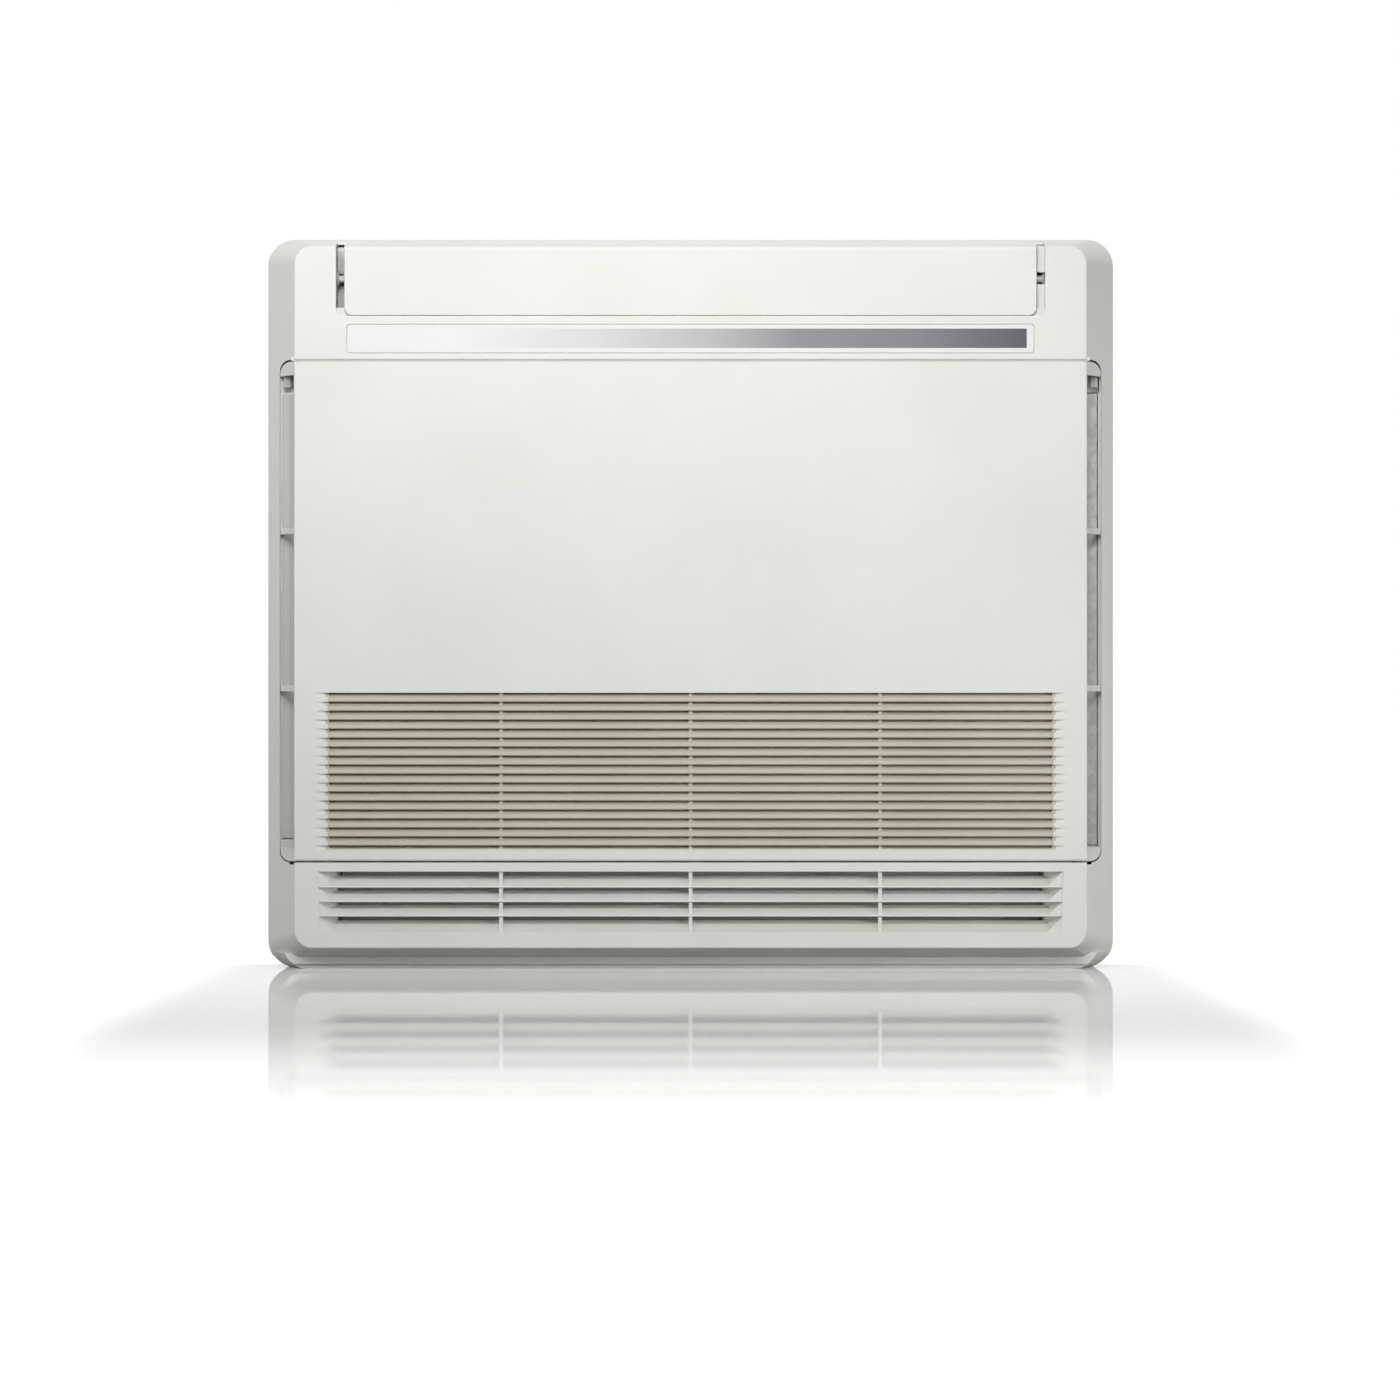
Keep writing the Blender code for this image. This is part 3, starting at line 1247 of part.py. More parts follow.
def rear_casing():
    """The tray that hangs on the wall: its rear wall, its rim and the walls of the fan chamber."""
    side = HALF_WIDTH - CABINET_WALL - CLEARANCE
    low = BASE_HEIGHT + 2 * FIT
    high = HEIGHT - CABINET_WALL - CLEARANCE
    outline = rounded_outline(side, low, high, CORNER_RADIUS - CABINET_WALL)[::-1]
    tray = loft(((REAR, outline), (REAR - CASING_RIM, outline)))
    obj = finished("rear_casing", tray, "grey abs")
    solidified(obj, REAR_WALL)
    depth = (CHAMBER_FRONT, REAR_INSIDE + OVERLAP)
    left = ((CHAMBER_LEFT, CHAMBER_TOP), (CHAMBER_LEFT, CHAMBER_LOW))
    right = (
        (OUTLET_HALF, CHAMBER_LOW),
        (CHAMBER_RIGHT, CHAMBER_LOW),
        (CHAMBER_RIGHT, CHAMBER_TOP),
        (OUTLET_HALF, CHAMBER_TOP),
    )
    walls = (
        extruded(wall_path(left, CHAMBER_WALL), 1, depth),
        extruded(wall_path(right, -CHAMBER_WALL), 1, depth),
    )
    boss = rod(1, (FLANGE_BACK + MOTOR_BRACKET + 2 * FIT, REAR_INSIDE + OVERLAP), (FAN_X, FAN_Z),
               MOTOR_BRACKET_RADIUS, MOTOR_STEPS)
    box_back = control_rear() + FIT
    posts = (
        rod(1, (box_back, REAR_INSIDE + OVERLAP), (control_middle(), z), 2 * STANDOFF_RADIUS, 16)
        for z in (CHAMBER_LOW + 0.1, CHAMBER_TOP - 0.1)
    )
    top = HEIGHT - BRACKET_DROP + CLEARANCE
    bottom = top - BRACKET_HEIGHT - 2 * CLEARANCE
    reach = BRACKET_LENGTH / 2 + CLEARANCE
    backing = box(
        (FAN_X - reach - 0.004, FAN_X + reach + 0.004),
        (REAR_INSIDE - POCKET_DEPTH, REAR_INSIDE + OVERLAP),
        (bottom - 0.004, top + 0.004),
    )
    add(obj, "chamber", *walls, boss, *posts)
    add(obj, "bracket backing", backing)
    pocket = box((FAN_X - reach, FAN_X + reach), (REAR - POCKET_DEPTH, REAR + BEYOND), (bottom, top))
    knock = rounded_box(
        (-side + 0.012, -side + 0.012 + KNOCKOUT_WIDTH),
        (REAR_INSIDE - BEYOND / 2, REAR + BEYOND),
        (KNOCKOUT_Z, KNOCKOUT_Z + KNOCKOUT_HEIGHT),
        1,
        0.006,
    )
    cut(obj, "bracket pocket", pocket, knock)
    return obj


def control_middle():
    x, z = control_limits()
    return (x[0] + x[1]) / 2


def control_rear():
    return COIL_FRONT + CONTROL_DEPTH


def wall_bracket():
    """The steel plate that is screwed to the wall, in its pocket."""
    y = REAR - POCKET_DEPTH + FIT
    high = HEIGHT - BRACKET_DROP
    half = BRACKET_LENGTH / 2
    plate = rounded_box(
        (FAN_X - half, FAN_X + half),
        (y, y + BRACKET_THICKNESS),
        (high - BRACKET_HEIGHT, high),
        1,
        0.006,
    )
    obj = finished("wall_bracket", plate, "steel")
    holes = [
        rod(1, grown((y, y + BRACKET_THICKNESS)), (FAN_X + x, high - z), KEYHOLE_RADIUS, 10)
        for x in (-half * 0.85, 0, half * 0.85)
        for z in (BRACKET_HEIGHT * 0.2, BRACKET_HEIGHT * 0.8)
    ]
    window = rounded_box(
        (FAN_X - half * 0.3, FAN_X + half * 0.3),
        grown((y, y + BRACKET_THICKNESS)),
        (high - BRACKET_HEIGHT * 0.62, high - BRACKET_HEIGHT * 0.38),
        1,
        0.004,
    )
    cut(obj, "holes", *holes, window)
    return obj


def bell_mouth():
    """The plate that closes the fan chamber, with the throat that leads air into the fan."""
    plate = box(
        (CHAMBER_LEFT, CHAMBER_RIGHT + CHAMBER_WALL),
        (BELL_FRONT, BELL_BACK),
        (CHAMBER_LOW, CHAMBER_TOP),
    )
    obj = finished("bell_mouth", plate, "grey abs")
    hole = BELL_MOUTH_RADIUS - BELL_WALL / 2
    cut(obj, "hole", rod(1, grown((BELL_FRONT, BELL_BACK)), (FAN_X, FAN_Z), hole, FAN_STEPS))
    reach = BELL_REACH
    bend = BELL_MOUTH_RADIUS - BELL_THROAT_RADIUS
    inner = []
    for step in range(4):
        angle = pi / 2 * step / 3
        inner.append((
            BELL_THROAT_RADIUS + bend * (1 - sin(angle)),
            BELL_FRONT + bend * (1 - cos(angle)),
        ))
    inner.append((BELL_THROAT_RADIUS, BELL_FRONT + reach))
    outer = [(r + BELL_WALL, max(y, BELL_FRONT + BELL_WALL * (i == 0))) for i, (r, y) in enumerate(inner)]
    profile = outer[::-1] + inner
    add(obj, "throat", turned(profile, (FAN_X, FAN_Z), FAN_STEPS))
    return obj


def turbo_fan():
    """A turbo fan: backward curved blades between a back plate with its hub and a shroud."""
    nose, hub = FAN_NOSE_RADIUS, FAN_HUB_RADIUS
    plate, wall = FAN_PLATE, FAN_PLATE
    back_profile = [
        (FAN_RADIUS, FAN_BACK),
        (FAN_RADIUS, FAN_BACK - plate),
        (hub + wall, FAN_BACK - plate),
        (nose + wall, NOSE_FRONT),
        (SHAFT_RADIUS + FIT, NOSE_FRONT),
        (SHAFT_RADIUS + FIT, NOSE_FRONT + wall),
        (nose, NOSE_FRONT + wall),
        (hub, FAN_BACK),
    ]
    back = turned(back_profile, (FAN_X, FAN_Z), FAN_STEPS)
    obj = finished("turbo_fan", back, "grey abs", (FAN_X, FAN_BACK, FAN_Z), smooth=True)
    middle = (FAN_EYE_RADIUS + FAN_RADIUS) / 2
    rise = FAN_SHROUD_RISE
    shroud_front = [
        (FAN_EYE_RADIUS, FAN_FRONT),
        (FAN_EYE_RADIUS + 0.004, FAN_FRONT + rise * 0.45),
        (middle - 0.008, FAN_FRONT + rise * 0.8),
        (FAN_RADIUS, FAN_FRONT + rise),
    ]
    shroud_back = [(r, y + FAN_SHROUD) for r, y in shroud_front]
    shroud_back[0] = (FAN_EYE_RADIUS, FAN_FRONT + rise * 0.45)
    shroud = turned(shroud_back[::-1] + shroud_front, (FAN_X, FAN_Z), FAN_STEPS)
    limit = [
        (FAN_BLADE_ROOT_RADIUS - 0.005, FAN_BACK - plate / 2),
        (FAN_BLADE_ROOT_RADIUS - 0.005, FAN_FRONT + rise * 0.45 + FAN_SHROUD / 2),
        (FAN_EYE_RADIUS + 0.004, FAN_FRONT + rise * 0.45 + FAN_SHROUD / 2),
        (middle - 0.008, FAN_FRONT + rise * 0.8 + FAN_SHROUD / 2),
        (FAN_RADIUS - FIT, FAN_FRONT + rise + FAN_SHROUD / 2),
        (FAN_RADIUS - FIT, FAN_BACK - plate / 2),
    ]
    blades = helper("fan blades", together(*(fan_blade(i) for i in range(FAN_BLADES))))
    combine(blades, "INTERSECT", "limit", turned(limit[::-1], (FAN_X, FAN_Z), FAN_STEPS))
    combine(obj, "UNION", "blades", blades)
    add(obj, "shroud", shroud)
    return obj


def fan_blade(index):
    """A backward curved blade as an arc of constant thickness, drawn about the fan's axis."""
    steps = 5
    sweep = radians(44)
    start = 2 * pi * index / FAN_BLADES
    path = []
    for step in range(steps + 1):
        share = step / steps
        radius = FAN_BLADE_ROOT_RADIUS + (FAN_RADIUS + 0.004 - FAN_BLADE_ROOT_RADIUS) * share
        angle = start + sweep * share**0.85
        path.append((FAN_X + radius * cos(angle), FAN_Z + radius * sin(angle)))
    return extruded(wall_path(path, FAN_BLADE_THICKNESS), 1, (FAN_FRONT - BEYOND, FAN_BACK + BEYOND))


def motor_shaft():
    limits = (NOSE_FRONT - NUT_HEIGHT - 0.004, MOTOR_FRONT + 0.014)
    shape = rod(1, limits, (FAN_X, FAN_Z), SHAFT_RADIUS, 16)
    return finished("motor_shaft", shape, "steel", (FAN_X, MOTOR_FRONT, FAN_Z), smooth=True)


def fan_nut():
    limits = (NOSE_FRONT - NUT_HEIGHT - FIT, NOSE_FRONT - FIT)
    shape = rod(1, limits, (FAN_X, FAN_Z), NUT_RADIUS, 6)
    obj = finished("fan_nut", shape, "brass", (FAN_X, limits[0], FAN_Z))
    cut(obj, "bore", rod(1, grown(limits), (FAN_X, FAN_Z), SHAFT_RADIUS + FIT, 16))
    return obj


def fan_motor():
    """The motor's can, its rear flange and the bore that its shaft turns in."""
    bore = SHAFT_RADIUS + PIN_CLEARANCE
    bore_end = MOTOR_FRONT + 0.014 + CLEARANCE
    profile = [
        (0, FLANGE_BACK),
        (MOTOR_FLANGE_RADIUS, FLANGE_BACK),
        (MOTOR_FLANGE_RADIUS, FLANGE_BACK - MOTOR_FLANGE),
        (MOTOR_RADIUS, FLANGE_BACK - MOTOR_FLANGE),
        (MOTOR_RADIUS, MOTOR_FRONT + 0.004),
        (MOTOR_RADIUS - 0.004, MOTOR_FRONT),
        (bore, MOTOR_FRONT),
        (bore, bore_end),
        (0, bore_end),
    ]
    can = turned(profile, (FAN_X, FAN_Z), MOTOR_STEPS)
    return finished("fan_motor", can, "steel", (FAN_X, FLANGE_BACK, FAN_Z), smooth=True)


def motor_bracket():
    """The steel ring that holds the motor's flange on the casing's boss."""
    limits = (FLANGE_BACK + FIT, FLANGE_BACK + FIT + MOTOR_BRACKET)
    obj = finished(
        "motor_bracket", rod(1, limits, (FAN_X, FAN_Z), MOTOR_BRACKET_RADIUS, MOTOR_STEPS), "steel"
    )
    cut(obj, "opening", rod(1, grown(limits), (FAN_X, FAN_Z), MOTOR_RADIUS, MOTOR_STEPS))
    clip_radius = (MOTOR_FLANGE_RADIUS + MOTOR_BRACKET_RADIUS) / 2 + 0.001
    clips = (
        rod(
            1,
            (limits[0] - MOTOR_FLANGE - 0.002, limits[0] + OVERLAP),
            (FAN_X + clip_radius * cos(angle), FAN_Z + clip_radius * sin(angle)),
            0.0045,
            12,
        )
        for angle in (radians(45 + 90 * i) for i in range(4))
    )
    add(obj, "screws", *clips)
    return obj


def evaporator():
    """The finned block. Grooves stand for the stacks between its aluminium fins."""
    block = box((COIL_LEFT, COIL_RIGHT), (COIL_FRONT, COIL_REAR), (COIL_LOW, COIL_TOP))
    obj = finished("evaporator_fins", block, "aluminium")
    pitch = (COIL_RIGHT - COIL_LEFT) / FIN_GROOVES
    grooves = (
        box(
            (x - FIN_GROOVE / 2, x + FIN_GROOVE / 2),
            (COIL_FRONT - BEYOND, COIL_FRONT + FIN_GROOVE_DEPTH),
            (COIL_LOW + 1.5 * FIN_GROOVE, COIL_TOP - 1.5 * FIN_GROOVE),
        )
        for x in (COIL_LEFT + (i + 0.5) * pitch for i in range(FIN_GROOVES))
    )
    cut(obj, "grooves", *grooves)
    return obj


def bend_heights():
    middle = (COIL_LOW + COIL_TOP) / 2
    pitch = (COIL_TOP - COIL_LOW) / BENDS
    return [middle + (i - (BENDS - 1) / 2) * pitch for i in range(BENDS)]


def return_bend(x, side, z):
    """A half turn of tube standing out of a tube sheet, upright, with its ends in the sheet."""
    radius = BEND_PITCH / 2
    steps = 4
    y = (COIL_FRONT + COIL_REAR) / 2
    path = [(x - side * OVERLAP, y, z + radius)]
    for step in range(steps + 1):
        angle = pi * step / steps
        path.append((x + side * (0.001 + radius * sin(angle)), y, z + radius * cos(angle)))
    path.append((x - side * OVERLAP, y, z - radius))
    return tube(path, BEND_TUBE_RADIUS)


def coil_end(side):
    """A steel tube sheet with the return bends of the copper circuit standing on it."""
    if side < 0:
        x = (COIL_LEFT - FIT - TUBE_SHEET, COIL_LEFT - FIT)
        outside = x[0]
    else:
        x = (COIL_RIGHT + FIT, COIL_RIGHT + FIT + TUBE_SHEET)
        outside = x[1]
    sheet = box(x, (COIL_FRONT, COIL_REAR), (COIL_LOW, COIL_TOP))
    obj = finished("coil_end_right" if side > 0 else "coil_end_left", sheet, "copper")
    if side > 0:
        add(obj, "bends", *(return_bend(outside, side, z) for z in bend_heights()))
    else:
        shift = (COIL_TOP - COIL_LOW) / BENDS / 2
        heights = [z + shift for z in bend_heights()[:-1]]
        add(obj, "bends", *(return_bend(outside, side, z) for z in heights))
    return obj


def gas_height():
    return bend_heights()[-1]


def liquid_height():
    return bend_heights()[0]


def pipe_end():
    """Where both pipes end: the depth of the flare nuts' seat."""
    return REAR_INSIDE - 0.030


def refrigerant_pipe(name, radius, end, start_z):
    """A copper pipe from the coil's end down the bay and back towards the knock-out."""
    y = (COIL_FRONT + COIL_REAR) / 2
    x, end_z = end
    bend = 0.016
    corners = [
        Vector((COIL_LEFT - FIT - TUBE_SHEET - FIT, y, start_z)),
        Vector((x, y, start_z)),
        Vector((x, y, end_z)),
        Vector((x, pipe_end(), end_z)),
    ]
    path = [corners[0]]
    for before, corner, after in zip(corners, corners[1:], corners[2:]):
        into = (corner - before).normalized()
        out = (after - corner).normalized()
        near = min(bend, (corner - before).length * 0.8)
        centre = corner - into * near + out * near
        for step in range(5):
            angle = pi / 2 * step / 4
            path.append(centre - out * near * cos(angle) + into * near * sin(angle))
    path.append(corners[-1])
    return finished(name, tube(path, radius), "copper", smooth=True)


def flare_nut(name, radius, pipe_radius, end):
    limits = (pipe_end() - FLARE_NUT_LENGTH / 2, pipe_end() + FLARE_NUT_LENGTH / 2)
    obj = finished(name, rod(1, limits, end, radius, 6), "brass")
    cut(obj, "bore", rod(1, (limits[0] - BEYOND, pipe_end() + FIT), end, pipe_radius + FIT, 12))
    return obj


def drain_pan():
    """The trough under the coil, with its spout in the pipe bay."""
    x = (CHAMBER_LEFT - 0.010, CHAMBER_RIGHT - 0.004)
    y = (RAIL_REAR + FILTER_FRAME_WALL + FIT, BELL_FRONT - FIT)
    obj = finished("drain_pan", box(x, y, (PAN_LOW, PAN_LOW + PAN_HEIGHT)), "polystyrene")
    wall = PAN_WALL
    cut(
        obj,
        "trough",
        box((x[0] + wall, x[1] - wall), (y[0] + wall, y[1] - wall), (PAN_FLOOR, PAN_LOW + 2 * PAN_HEIGHT)),
    )
    third = (COIL_RIGHT - COIL_LEFT) / 4
    rests = (
        box(
            (COIL_LEFT + third * i - 0.002, COIL_LEFT + third * i + 0.002),
            (y[0] + wall / 2, y[1] - wall / 2),
            (PAN_FLOOR - OVERLAP, COIL_LOW - FIT),
        )
        for i in (0.3, 2, 3.7)
    )
    add(obj, "coil rests", *rests)
    centre = ((y[0] + y[1]) / 2, PAN_FLOOR + PAN_SPOUT_RADIUS)
    spout_x = (x[0] - PAN_SPOUT_LENGTH, x[0] + wall / 2)
    add(obj, "spout", rod(0, spout_x, centre, PAN_SPOUT_RADIUS))
    bore_x = (spout_x[0] - BEYOND, x[0] + 2 * wall)
    bore = (centre[0], centre[1] + 0.0005)
    cut(obj, "spout bore", rod(0, bore_x, bore, PAN_SPOUT_RADIUS - wall))
    return obj


def filter_frame():
    """The box round the coil, whose front carries the rails of the two filters."""
    left = CHAMBER_LEFT - FILTER_FRAME_OVERHANG
    right = CHAMBER_RIGHT + CHAMBER_WALL
    low = PAN_LOW
    high = CHAMBER_TOP
    wall = FILTER_FRAME_WALL
    y = (RAIL_REAR, BELL_FRONT - FIT)
    front = box((left, right), (y[0], y[0] + wall), (low, high))
    obj = finished("filter_frame", front, "grey abs")
    bar = FILTER_FRAME_BAR
    middle = (left + right) / 2
    openings = (
        box(x, grown((y[0], y[0] + wall)), (low + bar + wall, high - bar))
        for x in ((left + bar, middle - bar / 2), (middle + bar / 2, right - bar))
    )
    cut(obj, "openings", *openings)
    side_low = PAN_LOW + PAN_HEIGHT + CLEARANCE
    sides = (
        box((left, CHAMBER_LEFT + 0.001), (y[1] - 0.010, y[1]), (side_low, high)),
        box((left, left + wall), (y[0] + wall / 2, y[1] - 0.005), (side_low, high)),
        box((right - wall, right), (y[0] + wall / 2, y[1]), (side_low, high)),
    )
    add(obj, "left side", sides[1])
    add(obj, "left flange", sides[0])
    add(obj, "right side", sides[2])
    baffle_y = slant_depth(PANEL_HALF) + CABINET_WALL + 2 * BAFFLE_GAP
    baffle = box(
        (BAFFLE_GAP - PANEL_HALF, left + wall / 2),
        (baffle_y, baffle_y + PAN_WALL),
        (side_low, latch_centre()[1] - LATCH_HEIGHT - BAFFLE_GAP),
    )
    add(obj, "baffle", baffle)
    coil_middle = (COIL_FRONT + COIL_REAR) / 2
    notches = (
        box(
            (left - BEYOND, left + wall + BEYOND / 2),
            (coil_middle - radius - CLEARANCE, y[1] + BEYOND),
            (z - radius - FILTER_FRAME_BAR, z + radius + CLEARANCE),
        )
        for radius, z in ((GAS_PIPE_RADIUS, gas_height()), (LIQUID_PIPE_RADIUS, liquid_height()))
    )
    cut(obj, "pipe notches", *notches)
    lip_y = (RAIL_FRONT, RAIL_FRONT + RAIL_LIP)
    web_y = (RAIL_FRONT + OVERLAP, RAIL_REAR + wall / 2)
    foot_z = (low, low + wall)
    rail_z = (low, high - bar)
    catch = RAIL_CATCH
    webs = (
        box((left, left + wall), web_y, rail_z),
        box((middle - wall / 2, middle + wall / 2), web_y, rail_z),
        box((right - wall, right), web_y, rail_z),
    )
    add(obj, "rail webs", *webs)
    lips = (
        box((left, left + wall + catch), lip_y, rail_z),
        box((middle - wall / 2 - catch, middle + wall / 2 + catch), lip_y, rail_z),
        box((right - wall - catch, right), lip_y, rail_z),
    )
    add(obj, "rail lips", *lips)
    add(obj, "shelf", box((left + OVERLAP, right - OVERLAP), (web_y[0], web_y[1]), foot_z))
    return obj


def filter_span(side):
    left = CHAMBER_LEFT - FILTER_FRAME_OVERHANG
    right = CHAMBER_RIGHT + CHAMBER_WALL
    middle = (left + right) / 2
    wall = FILTER_FRAME_WALL
    gap = FIT
    if side < 0:
        return (left + wall + gap, middle - wall / 2 - gap)
    return (middle + wall / 2 + gap, right - wall - gap)


def air_filter(side):
    """A frame of bars with a net behind it. It stands on the shelf and lifts out of its rails."""
    name = "air_filter_right" if side > 0 else "air_filter_left"
    x = filter_span(side)
    y = (RAIL_REAR - FIT - FILTER_THICKNESS, RAIL_REAR - FIT)
    low = PAN_LOW + FILTER_FRAME_WALL + FIT
    high = CHAMBER_TOP - FILTER_FRAME_BAR - FILTER_LIFT / 2
    obj = finished(name, box(x, y, (low, high)), "filter")
    columns, rows = 3, 4
    bar = FILTER_BAR / 2
    width = (x[1] - x[0] - 2 * bar) / columns
    height = (high - low - 2 * bar) / rows
    cells = (
        box(
            (x[0] + 1.5 * bar + i * width, x[0] + bar / 2 + (i + 1) * width),
            (y[0] - BEYOND, y[1] - FILTER_NET),
            (low + 1.5 * bar + j * height, low + bar / 2 + (j + 1) * height),
        )
        for i in range(columns)
        for j in range(rows)
    )
    cut(obj, "cells", *cells)
    middle = (x[0] + x[1]) / 2
    tab = rounded_box(
        (middle - 2.5 * FILTER_BAR, middle + 2.5 * FILTER_BAR),
        y,
        (high - FILTER_BAR / 2, high + 1.1 * FILTER_BAR),
        1,
        FILTER_BAR * 0.37,
    )
    add(obj, "tab", tab)
    return obj


def control_limits():
    x = (CHAMBER_RIGHT + CHAMBER_WALL + 0.0075, HALF_WIDTH - CABINET_WALL - CONTROL_SIDE_GAP)
    z = (CHAMBER_LOW + CONTROL_FOOT_GAP, CHAMBER_TOP - CONTROL_TOP_GAP)
    return x, z


def control_box():
    """The sheet steel box for the electrics, open in front."""
    x, z = control_limits()
    y = (COIL_FRONT, control_rear())
    obj = finished("control_box", box(x, y, z), "steel")
    wall = CONTROL_WALL
    inside = box(
        (x[0] + wall, x[1] - wall), (y[0] - BEYOND, y[1] - wall), (z[0] + wall, z[1] - wall)
    )
    cut(obj, "inside", inside)
    middle = control_middle()
    entry_y = y[0] + WIRE_ENTRY_BACK
    entry = rod(2, (z[0] - BEYOND, z[0] + 2 * wall), (middle, entry_y), 2 * STANDOFF_RADIUS, 16)
    cut(obj, "wire entry", entry)
    board_y = y[1] - wall - STANDOFF_LENGTH
    centre = (z[0] + z[1]) / 2
    across = CONTROL_BOARD_WIDTH / 2 - 1.5 * STANDOFF_RADIUS
    heights = (
        centre - CONTROL_BOARD_BELOW + 2.5 * STANDOFF_RADIUS,
        centre + CONTROL_BOARD_ABOVE - 2.5 * STANDOFF_RADIUS,
    )
    posts = (
        rod(1, (board_y, y[1] - wall / 2), (middle + dx, height), STANDOFF_RADIUS, 10)
        for dx in (-across, across)
        for height in heights
    )
    add(obj, "board posts", *posts)
    return obj


def control_board():
    """The main circuit board with its largest components."""
    x, z = control_limits()
    back = control_rear() - CONTROL_WALL - STANDOFF_LENGTH - FIT
    middle, centre = control_middle(), (z[0] + z[1]) / 2
    width = CONTROL_BOARD_WIDTH
    board = box(
        (middle - width / 2, middle + width / 2),
        (back - BOARD_THICKNESS, back),
        (centre - CONTROL_BOARD_BELOW, centre + CONTROL_BOARD_ABOVE),
    )
    obj = finished("control_board", board, "circuit board")
    face = back - BOARD_THICKNESS + OVERLAP / 2

    def block(x, rise, z):
        return box(
            (middle + width * x[0], middle + width * x[1]),
            (face - width * rise, face),
            (centre + width * z[0], centre + width * z[1]),
        )

    def capacitor(x, z):
        place = (middle + width * x, centre + width * z)
        return rod(1, (face - width * 0.36, face), place, width / 8, 16)

    components = (
        block((-0.42, -0.03), 0.30, (-1.04, -0.62)),
        block((0.08, 0.42), 0.22, (-0.97, -0.42)),
        capacitor(-0.25, -0.14),
        capacitor(0.10, -0.08),
        block((-0.28, 0.25), 0.06, (0.42, 0.70)),
        block((-0.44, 0.44), 0.12, (1.36, 1.56)),
    )
    add(obj, "components", *components)
    return obj


def control_cover():
    """The steel lid of the control box, with holes for the button and the slide switch."""
    x, z = control_limits()
    y = (COIL_FRONT - FIT - CONTROL_WALL, COIL_FRONT - FIT)
    z = (z[0] - CONTROL_COVER_SKIRT, z[1] + CONTROL_COVER_TOP)
    obj = finished("control_box_cover", box(x, y, z), "steel")
    middle = control_middle()
    slot_x = (middle - SWITCH_SLOT / 2, middle + SWITCH_SLOT / 2)
    slot_z = (cover_switch_z() - SWITCH_HEIGHT / 2, cover_switch_z() + SWITCH_HEIGHT / 2)
    holes = (
        rod(1, grown(y), (middle, cover_button_z()), BUTTON_RADIUS + CLEARANCE, 16),
        box(slot_x, grown(y), slot_z),
    )
    cut(obj, "holes", *holes)
    return obj


def cover_button_z():
    return control_limits()[1][1] - 6 * BUTTON_RADIUS


def cover_switch_z():
    return cover_button_z() - 6 * BUTTON_RADIUS


def power_button():
    """The push button for running the unit without its remote control."""
    middle = control_middle()
    front = COIL_FRONT - FIT - CONTROL_WALL
    flange = (COIL_FRONT, COIL_FRONT + 4 * FIT)
    stem = (front - 2 * CONTROL_WALL, flange[1] - FIT)
    shape = rod(1, stem, (middle, cover_button_z()), BUTTON_RADIUS, 16)
    obj = finished("power_button", shape, "white abs", (middle, front, cover_button_z()))
    add(obj, "flange", rod(1, flange, (middle, cover_button_z()), 1.4 * BUTTON_RADIUS, 16))
    return obj


def outlet_switch():
    """The slide switch that chooses upper outlet alone or both outlets."""
    middle = control_middle()
    left = middle - SWITCH_SLOT / 2 + CLEARANCE
    x = (left, middle + SWITCH_SLOT / 2 - 2 * CLEARANCE - SWITCH_TRAVEL)
    z = cover_switch_z()
    reach = SWITCH_HEIGHT / 2 - FIT
    front = COIL_FRONT - FIT - CONTROL_WALL
    slide = box(x, (front - CONTROL_WALL, COIL_FRONT + CONTROL_WALL), (z - reach, z + reach))
    obj = finished("outlet_switch", slide, "dark abs", ((x[0] + x[1]) / 2, front, z))
    plate_y = (COIL_FRONT + FIT, COIL_FRONT + FIT + CONTROL_WALL)
    plate = box(grown(x, -2 * CLEARANCE), plate_y, (z - 2 * reach, z + 2 * reach))
    add(obj, "plate", plate)
    return obj


def terminal_block():
    """The screw terminals at the foot of the control box."""
    x, z = control_limits()
    middle = control_middle()
    floor = z[0] + CONTROL_WALL + FIT
    back = control_rear() - CONTROL_WALL - FIT
    left = middle - TERMINAL_WIDTH / 2
    front = back - TERMINAL_DEPTH
    body = box((left, left + TERMINAL_WIDTH), (front, back), (floor, floor + TERMINAL_HEIGHT))
    obj = finished("terminal_block", body, "dark abs")
    pitch = TERMINAL_WIDTH / TERMINALS
    rim = TERMINAL_HEIGHT / 6
    wells = (
        box(
            (left + (i + 0.1) * pitch, left + (i + 0.9) * pitch),
            (front - BEYOND, front + TERMINAL_DEPTH / 3),
            (floor + rim, floor + TERMINAL_HEIGHT - rim),
        )
        for i in range(TERMINALS)
    )
    cut(obj, "wells", *wells)
    return obj


def cable_clamp():
    """The saddle that holds the supply wires under the control box."""
    x, z = control_limits()
    middle = control_middle()
    y = COIL_FRONT + WIRE_ENTRY_BACK
    height = (z[0] - FIT - CLAMP_HEIGHT, z[0] - FIT)
    saddle = box(
        (middle - CLAMP_WIDTH / 2, middle + CLAMP_WIDTH / 2),
        (y - CLAMP_DEPTH / 2, y + CLAMP_DEPTH / 2),
        height,
    )
    obj = finished("cable_clamp", saddle, "grey abs")
    cut(obj, "passage", rod(2, grown(height), (middle, y), CLAMP_BORE_RADIUS, 16))
    return obj


def room_sensor():
    """The air temperature sensor, upright beside the filter."""
    x = CHAMBER_RIGHT + CHAMBER_WALL + FIT + SENSOR_RADIUS + 0.0002
    y = RAIL_REAR + 0.008
    z = CHAMBER_TOP - 0.060
    shape = rod(2, (z, z + SENSOR_LENGTH), (x, y), SENSOR_RADIUS, 12)
    return finished("room_sensor", shape, "copper", smooth=True)


